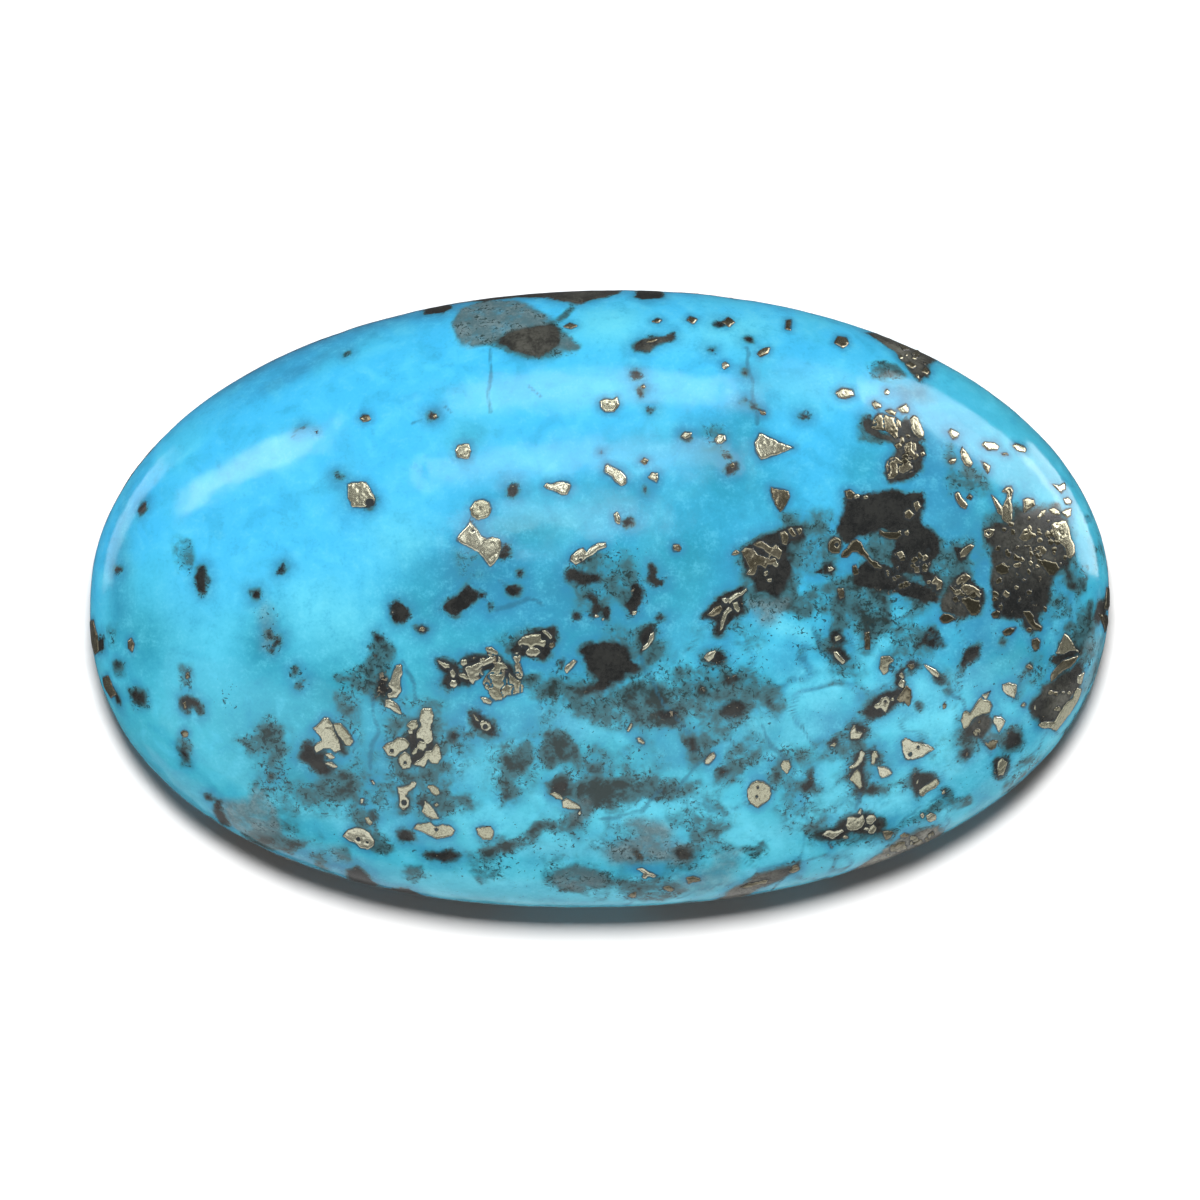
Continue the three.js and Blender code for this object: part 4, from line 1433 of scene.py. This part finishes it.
faces = grid_faces(FINE_COLUMNS, FINE_ROWS).tolist()
coarse_faces = grid_faces(coarse_columns, coarse_rows)[:, ::-1] + len(top_points)
faces += coarse_faces.tolist()
fine_rim = grid_rim(FINE_COLUMNS, FINE_ROWS)
coarse_rim = grid_rim(coarse_columns, coarse_rows) + len(top_points)
half = FINE_PER_COARSE // 2
for j, coarse in enumerate(coarse_rim):
    following = coarse_rim[(j + 1) % len(coarse_rim)]
    run = [fine_rim[(FINE_PER_COARSE * j + k) % len(fine_rim)] for k in range(FINE_PER_COARSE + 1)]
    for k in range(FINE_PER_COARSE):
        faces.append((coarse if k < half else following, run[k + 1], run[k]))
    faces.append((coarse, following, run[half]))

stone = make_mesh(
    "turquoise_stone",
    np.concatenate([top_points, back_points]),
    [tuple(int(i) for i in face) for face in faces],
    {name: np.concatenate([fields[name], back_fields[name]]) for name in fields},
    turquoise_material(),
)

# Pyrite: each grain is a small sheet that rises from the skin with a bevelled edge. A thin
# dark rind lies around it, and beyond that the sheet dives under the skin
SHEET_GRID = 0.034
GRAIN_BEVEL = 0.045
RIND_WIDTH, RIND_PATCH = 0.020, 0.3
RIND_LIFT = 0.004
GRAIN_TOP, LOWEST_TOP = SKIN_DEPTH - 0.005, 0.012
DIVE = 0.05
# Edges wander off their outline, tops are a little sunken and lean, and are dented in places
EDGE_WANDER, WANDER_SIZE = 0.025, 0.22
SUNKEN = 0.010
LEAN = 0.015
DENT_DEPTH, DENT_SIZE = 0.020, 0.10
# Channels lie where noise is close to 0
CHANNEL_SIZE, CHANNEL_WIDTH, CHANNEL_SLOPE = 0.30, 0.13, 0.28


def grain_sheet(outline, surface, wormy, seed):
    """One grain: points, faces, and how far inside its edge each point lies."""
    margin = RIND_WIDTH * 2 + 2 * SHEET_GRID
    low, high = outline.min(axis=0) - margin, outline.max(axis=0) + margin
    columns, rows = np.ceil((high - low) / SHEET_GRID).astype(int)
    x, y = np.meshgrid(np.arange(columns + 1), np.arange(rows + 1))
    flat = low + np.column_stack([x.ravel(), y.ravel()]) * SHEET_GRID
    inside = inside_distance(flat, outline) + EDGE_WANDER * flat_cloud(flat, WANDER_SIZE, seed)
    for middle, radius in hole_discs:
        if np.all(middle > low) and np.all(middle < high):
            inside = np.minimum(inside, np.linalg.norm(flat - middle, axis=1) - radius)
    if wormy:
        channel = np.abs(flat_cloud(flat, CHANNEL_SIZE, seed + 5, 2)) - CHANNEL_WIDTH
        inside = np.minimum(inside, channel * CHANNEL_SLOPE)
    rind = RIND_WIDTH * (1 + 0.5 * flat_cloud(flat, RIND_PATCH, seed + 9, 2))
    rise = smooth(inside, -0.005, GRAIN_BEVEL)
    lean = (flat - outline.mean(axis=0)) @ np.random.default_rng(seed).normal(0, LEAN, 2)
    dents = DENT_DEPTH * patchy(flat, DENT_SIZE, seed + 2, 2, 0.35, 0.8)
    top = np.clip(GRAIN_TOP - dents - SUNKEN + lean, LOWEST_TOP, GRAIN_TOP)
    height = RIND_LIFT + (top - RIND_LIFT) * rise
    height = np.where(inside < -rind, -DIVE, height)
    places, normals = surface(flat)
    points = places + normals * (height - SKIN_DEPTH)[:, None]
    quads = grid_faces(columns, rows)
    quads = quads[np.any(inside[quads] > -rind[quads], axis=1)]
    used, faces = np.unique(quads, return_inverse=True)
    return points[used], faces.reshape(-1, 4), inside[used]


def random_outline(middle, size, rng):
    """A chip with straight sides, longer than it is wide."""
    corners = rng.integers(5, 8)
    angle = np.sort(rng.uniform(0, 2 * math.pi, corners))
    radius = size / 2 * rng.uniform(0.7, 1.15, corners)
    tilt = rng.uniform(0, math.pi)
    stretch = np.array([1.0, rng.uniform(0.4, 0.9)])
    return middle + unit(angle) * radius[:, None] * stretch @ turn(tilt)


# Grains where the photo shows nothing: on the side and on the back, in or next to matrix
# there. How often a place is tried, how far outside the matrix it may be, and the grains' sizes
WILD_GRAIN_SEED = 7
SIDE_TRIES, BACK_TRIES = 260, 420
SIDE_OUTSIDE, BACK_OUTSIDE = 0.12, 0.10
SIDE_SIZES, BACK_SIZES = (0.2, 0.7), (0.25, 1.1)
SIDE_PATH = (0.15, 1.1)
BACK_CLEARANCE = 0.8
WILD_DULLNESS = 0.5

wild_rng = np.random.default_rng(WILD_GRAIN_SEED)
sheets = [
    (outline, dome_surface, dullness_with_painted_shade(outline, dull_and_shade), wormy) for outline, dull_and_shade, wormy in grains
]
for _ in range(SIDE_TRIES):
    direction = wild_rng.uniform(0, 2 * math.pi)
    path = float(reach(direction)) * DOME_END + wild_rng.uniform(*SIDE_PATH)
    middle = path * np.array([math.cos(direction), math.sin(direction)])
    if wild_rock(fold(middle[None]))[0] > -SIDE_OUTSIDE:
        outline = random_outline(middle, wild_rng.uniform(*SIDE_SIZES), wild_rng)
        sheets.append((outline, dome_surface, WILD_DULLNESS, False))
for _ in range(BACK_TRIES):
    direction = wild_rng.uniform(0, 2 * math.pi)
    farthest = float(reach(direction)) - BACK_BEVEL - BACK_CLEARANCE
    distance = farthest * math.sqrt(wild_rng.uniform(0, 1))
    middle = distance * np.array([math.cos(direction), math.sin(direction)])
    if wild_rock(np.array([[*middle, 0.0]]))[0] > -BACK_OUTSIDE:
        outline = random_outline(middle, wild_rng.uniform(*BACK_SIZES), wild_rng)
        sheets.append((outline, back_surface, WILD_DULLNESS, False))

FIRST_SHEET_SEED = 100
points, faces, edge_field, dull_and_shade_field, tone_field = [], [], [], [], []
count = 0
for seed, (outline, surface, dull_and_shade, wormy) in enumerate(sheets, start=FIRST_SHEET_SEED):
    grain_points, grain_quads, inside = grain_sheet(outline, surface, wormy, seed)
    points.append(grain_points)
    faces.append(grain_quads + count)
    edge_field.append(inside)
    dull_and_shade_field.append(np.full(len(inside), dull_and_shade))
    tone_field.append(np.full(len(inside), wild_rng.uniform(0, 1)))
    count += len(grain_points)
pyrite = make_mesh(
    "pyrite_grains",
    np.concatenate(points),
    np.concatenate(faces).tolist(),
    {
        "edge": np.concatenate(edge_field),
        "dull_and_shade": np.concatenate(dull_and_shade_field),
        "tone": np.concatenate(tone_field),
    },
    pyrite_material(),
)

for piece, slot in ((stone, "turquoise"), (pyrite, "pyrite")):
    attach(piece, "root")
    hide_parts("turquoise_cabochon")

# Floor: plain and white, just under the stone. Its lamp makes this grey white in the render
FLOOR_SIDE = 2000.0
FLOOR_GAP = 0.01
FLOOR_GREY, FLOOR_ROUGHNESS = 0.5, 0.9
floor_shader = Shader("white_floor")
floor_shader.set("Base Color", (FLOOR_GREY, FLOOR_GREY, FLOOR_GREY, 1))
floor_shader.set("Roughness", FLOOR_ROUGHNESS)
corners = np.array([(-1, -1), (1, -1), (1, 1), (-1, 1)]) * FLOOR_SIDE / 2
floor = make_mesh(
    "floor",
    np.column_stack([corners, np.full(len(corners), -FLOOR_GAP)]),
    [(0, 1, 2, 3)],
    {},
    floor_shader.material,
)
floor.visible_glossy = False


def toward(azimuth, elevation):
    """A direction: azimuth from +X toward +Y, elevation above the floor, in degrees."""
    a, e = math.radians(azimuth), math.radians(elevation)
    return np.array([math.cos(e) * math.cos(a), math.cos(e) * math.sin(a), math.sin(e)])


LAMP_DISTANCE = 400.0


def softbox(name, azimuth, elevation, wide, tall, radiance, roll=0):
    """An area light that faces the stone. Width, height and roll are angles in degrees."""
    distance = LAMP_DISTANCE * MM
    light = bpy.data.lights.new(name, "AREA")
    light.shape = "RECTANGLE"
    light.size = 2 * distance * math.tan(math.radians(wide) / 2)
    light.size_y = 2 * distance * math.tan(math.radians(tall) / 2)
    light.energy = radiance * math.pi * light.size * light.size_y
    lamp = bpy.data.objects.new(name, light)
    bpy.context.scene.collection.objects.link(lamp)
    back = toward(azimuth, elevation)
    lamp.location = back * distance
    side = np.cross([0.0, 0.0, 1.0], back)
    side /= np.linalg.norm(side)
    up = np.cross(back, side)
    c, s = math.cos(math.radians(roll)), math.sin(math.radians(roll))
    side, up = c * side + s * up, c * up - s * side
    lamp.rotation_euler = Matrix(np.column_stack([side, up, back]).tolist()).to_euler()
    return lamp


# The windows and strip lights that the polish mirrors: they give highlights only
highlights = [
    softbox("band_low", 90.5, 36.5, 24, 15, 3.2),
    softbox("band_middle", 94, 61, 26, 9, 2.9),
    softbox("band_high", 104, 76, 13, 8, 2.8),
    softbox("window_left", 137.5, 30, 27, 12, 5.2, -28),
    softbox("window_right", 44, 9, 41, 31, 4.2, 4),
    softbox("glow_right", 58, 21, 36, 22, 1.0),
    softbox("rim_right", 23, -14, 34, 28, 4.5),
    softbox("rim_left", 158, -15, 34, 20, 2.2),
    softbox("pale_wall", 270, 42, 120, 60, 0.65),
    softbox("glow_below", 288, -38, 120, 50, 0.5),
]
for lamp in highlights:
    lamp.visible_diffuse = False
    lamp.visible_camera = False

# The big soft light overhead shines on the stone. A smaller one that leans over from behind
# lights the floor and lays the shadow along the near edge. The polish mirrors neither
key = softbox("key_light", 90, 82, 116, 106, 1.75)
floor_light = softbox("floor_light", 90, 69, 18, 14, 105)
lit_pieces = {key: (stone, pyrite), floor_light: (floor,)}
for lamp, pieces in lit_pieces.items():
    lamp.visible_glossy = False
    lamp.visible_camera = False
    receivers = bpy.data.collections.new(lamp.name + "_receivers")
    for piece in pieces:
        receivers.objects.link(piece)
    lamp.light_linking.receiver_collection = receivers

# Surroundings: a dim room, paler a little above the horizon. Each stop is a height, from
# 0 at the horizon to 1 overhead, and a brightness
ROOM = ((0.0, 0.10), (0.12, 0.26), (0.5, 0.16), (1.0, 0.12))
world = bpy.data.worlds.new("dim_room")
world.use_nodes = True
nodes, links = world.node_tree.nodes, world.node_tree.links
where = nodes.new("ShaderNodeTexCoord")
split = nodes.new("ShaderNodeSeparateXYZ")
ramp = nodes.new("ShaderNodeValToRGB")
links.new(where.outputs["Generated"], split.inputs[0])
links.new(split.outputs["Z"], ramp.inputs[0])
stops = ramp.color_ramp.elements
while len(stops) < len(ROOM):
    stops.new(0.5)
for stop, (height, brightness) in zip(stops, ROOM):
    stop.position = height
    stop.color = (brightness, brightness, brightness, 1)
links.new(ramp.outputs["Color"], nodes["Background"].inputs["Color"])
bpy.context.scene.world = world

# Camera: straight above the middle of the photo, far away behind a long lens
CAMERA_HEIGHT = 600.0
SIGHT_LIMIT = 10000.0
SENSOR = 36.0
frame_width = PHOTO_SIDE * PIXEL
camera_data = bpy.data.cameras.new("camera")
camera_data.sensor_width = SENSOR
camera_data.lens = SENSOR * (CAMERA_HEIGHT - GIRDLE_HEIGHT) / frame_width
camera_data.clip_end = SIGHT_LIMIT * MM
camera = bpy.data.objects.new("camera", camera_data)
middle = photo_points(f"{PHOTO_SIDE / 2},{PHOTO_SIDE / 2}")[0]
camera.location = (middle[0] * MM, middle[1] * MM, CAMERA_HEIGHT * MM)
bpy.context.scene.collection.objects.link(camera)
bpy.context.scene.camera = camera
bpy.context.scene.view_settings.view_transform = "Standard"
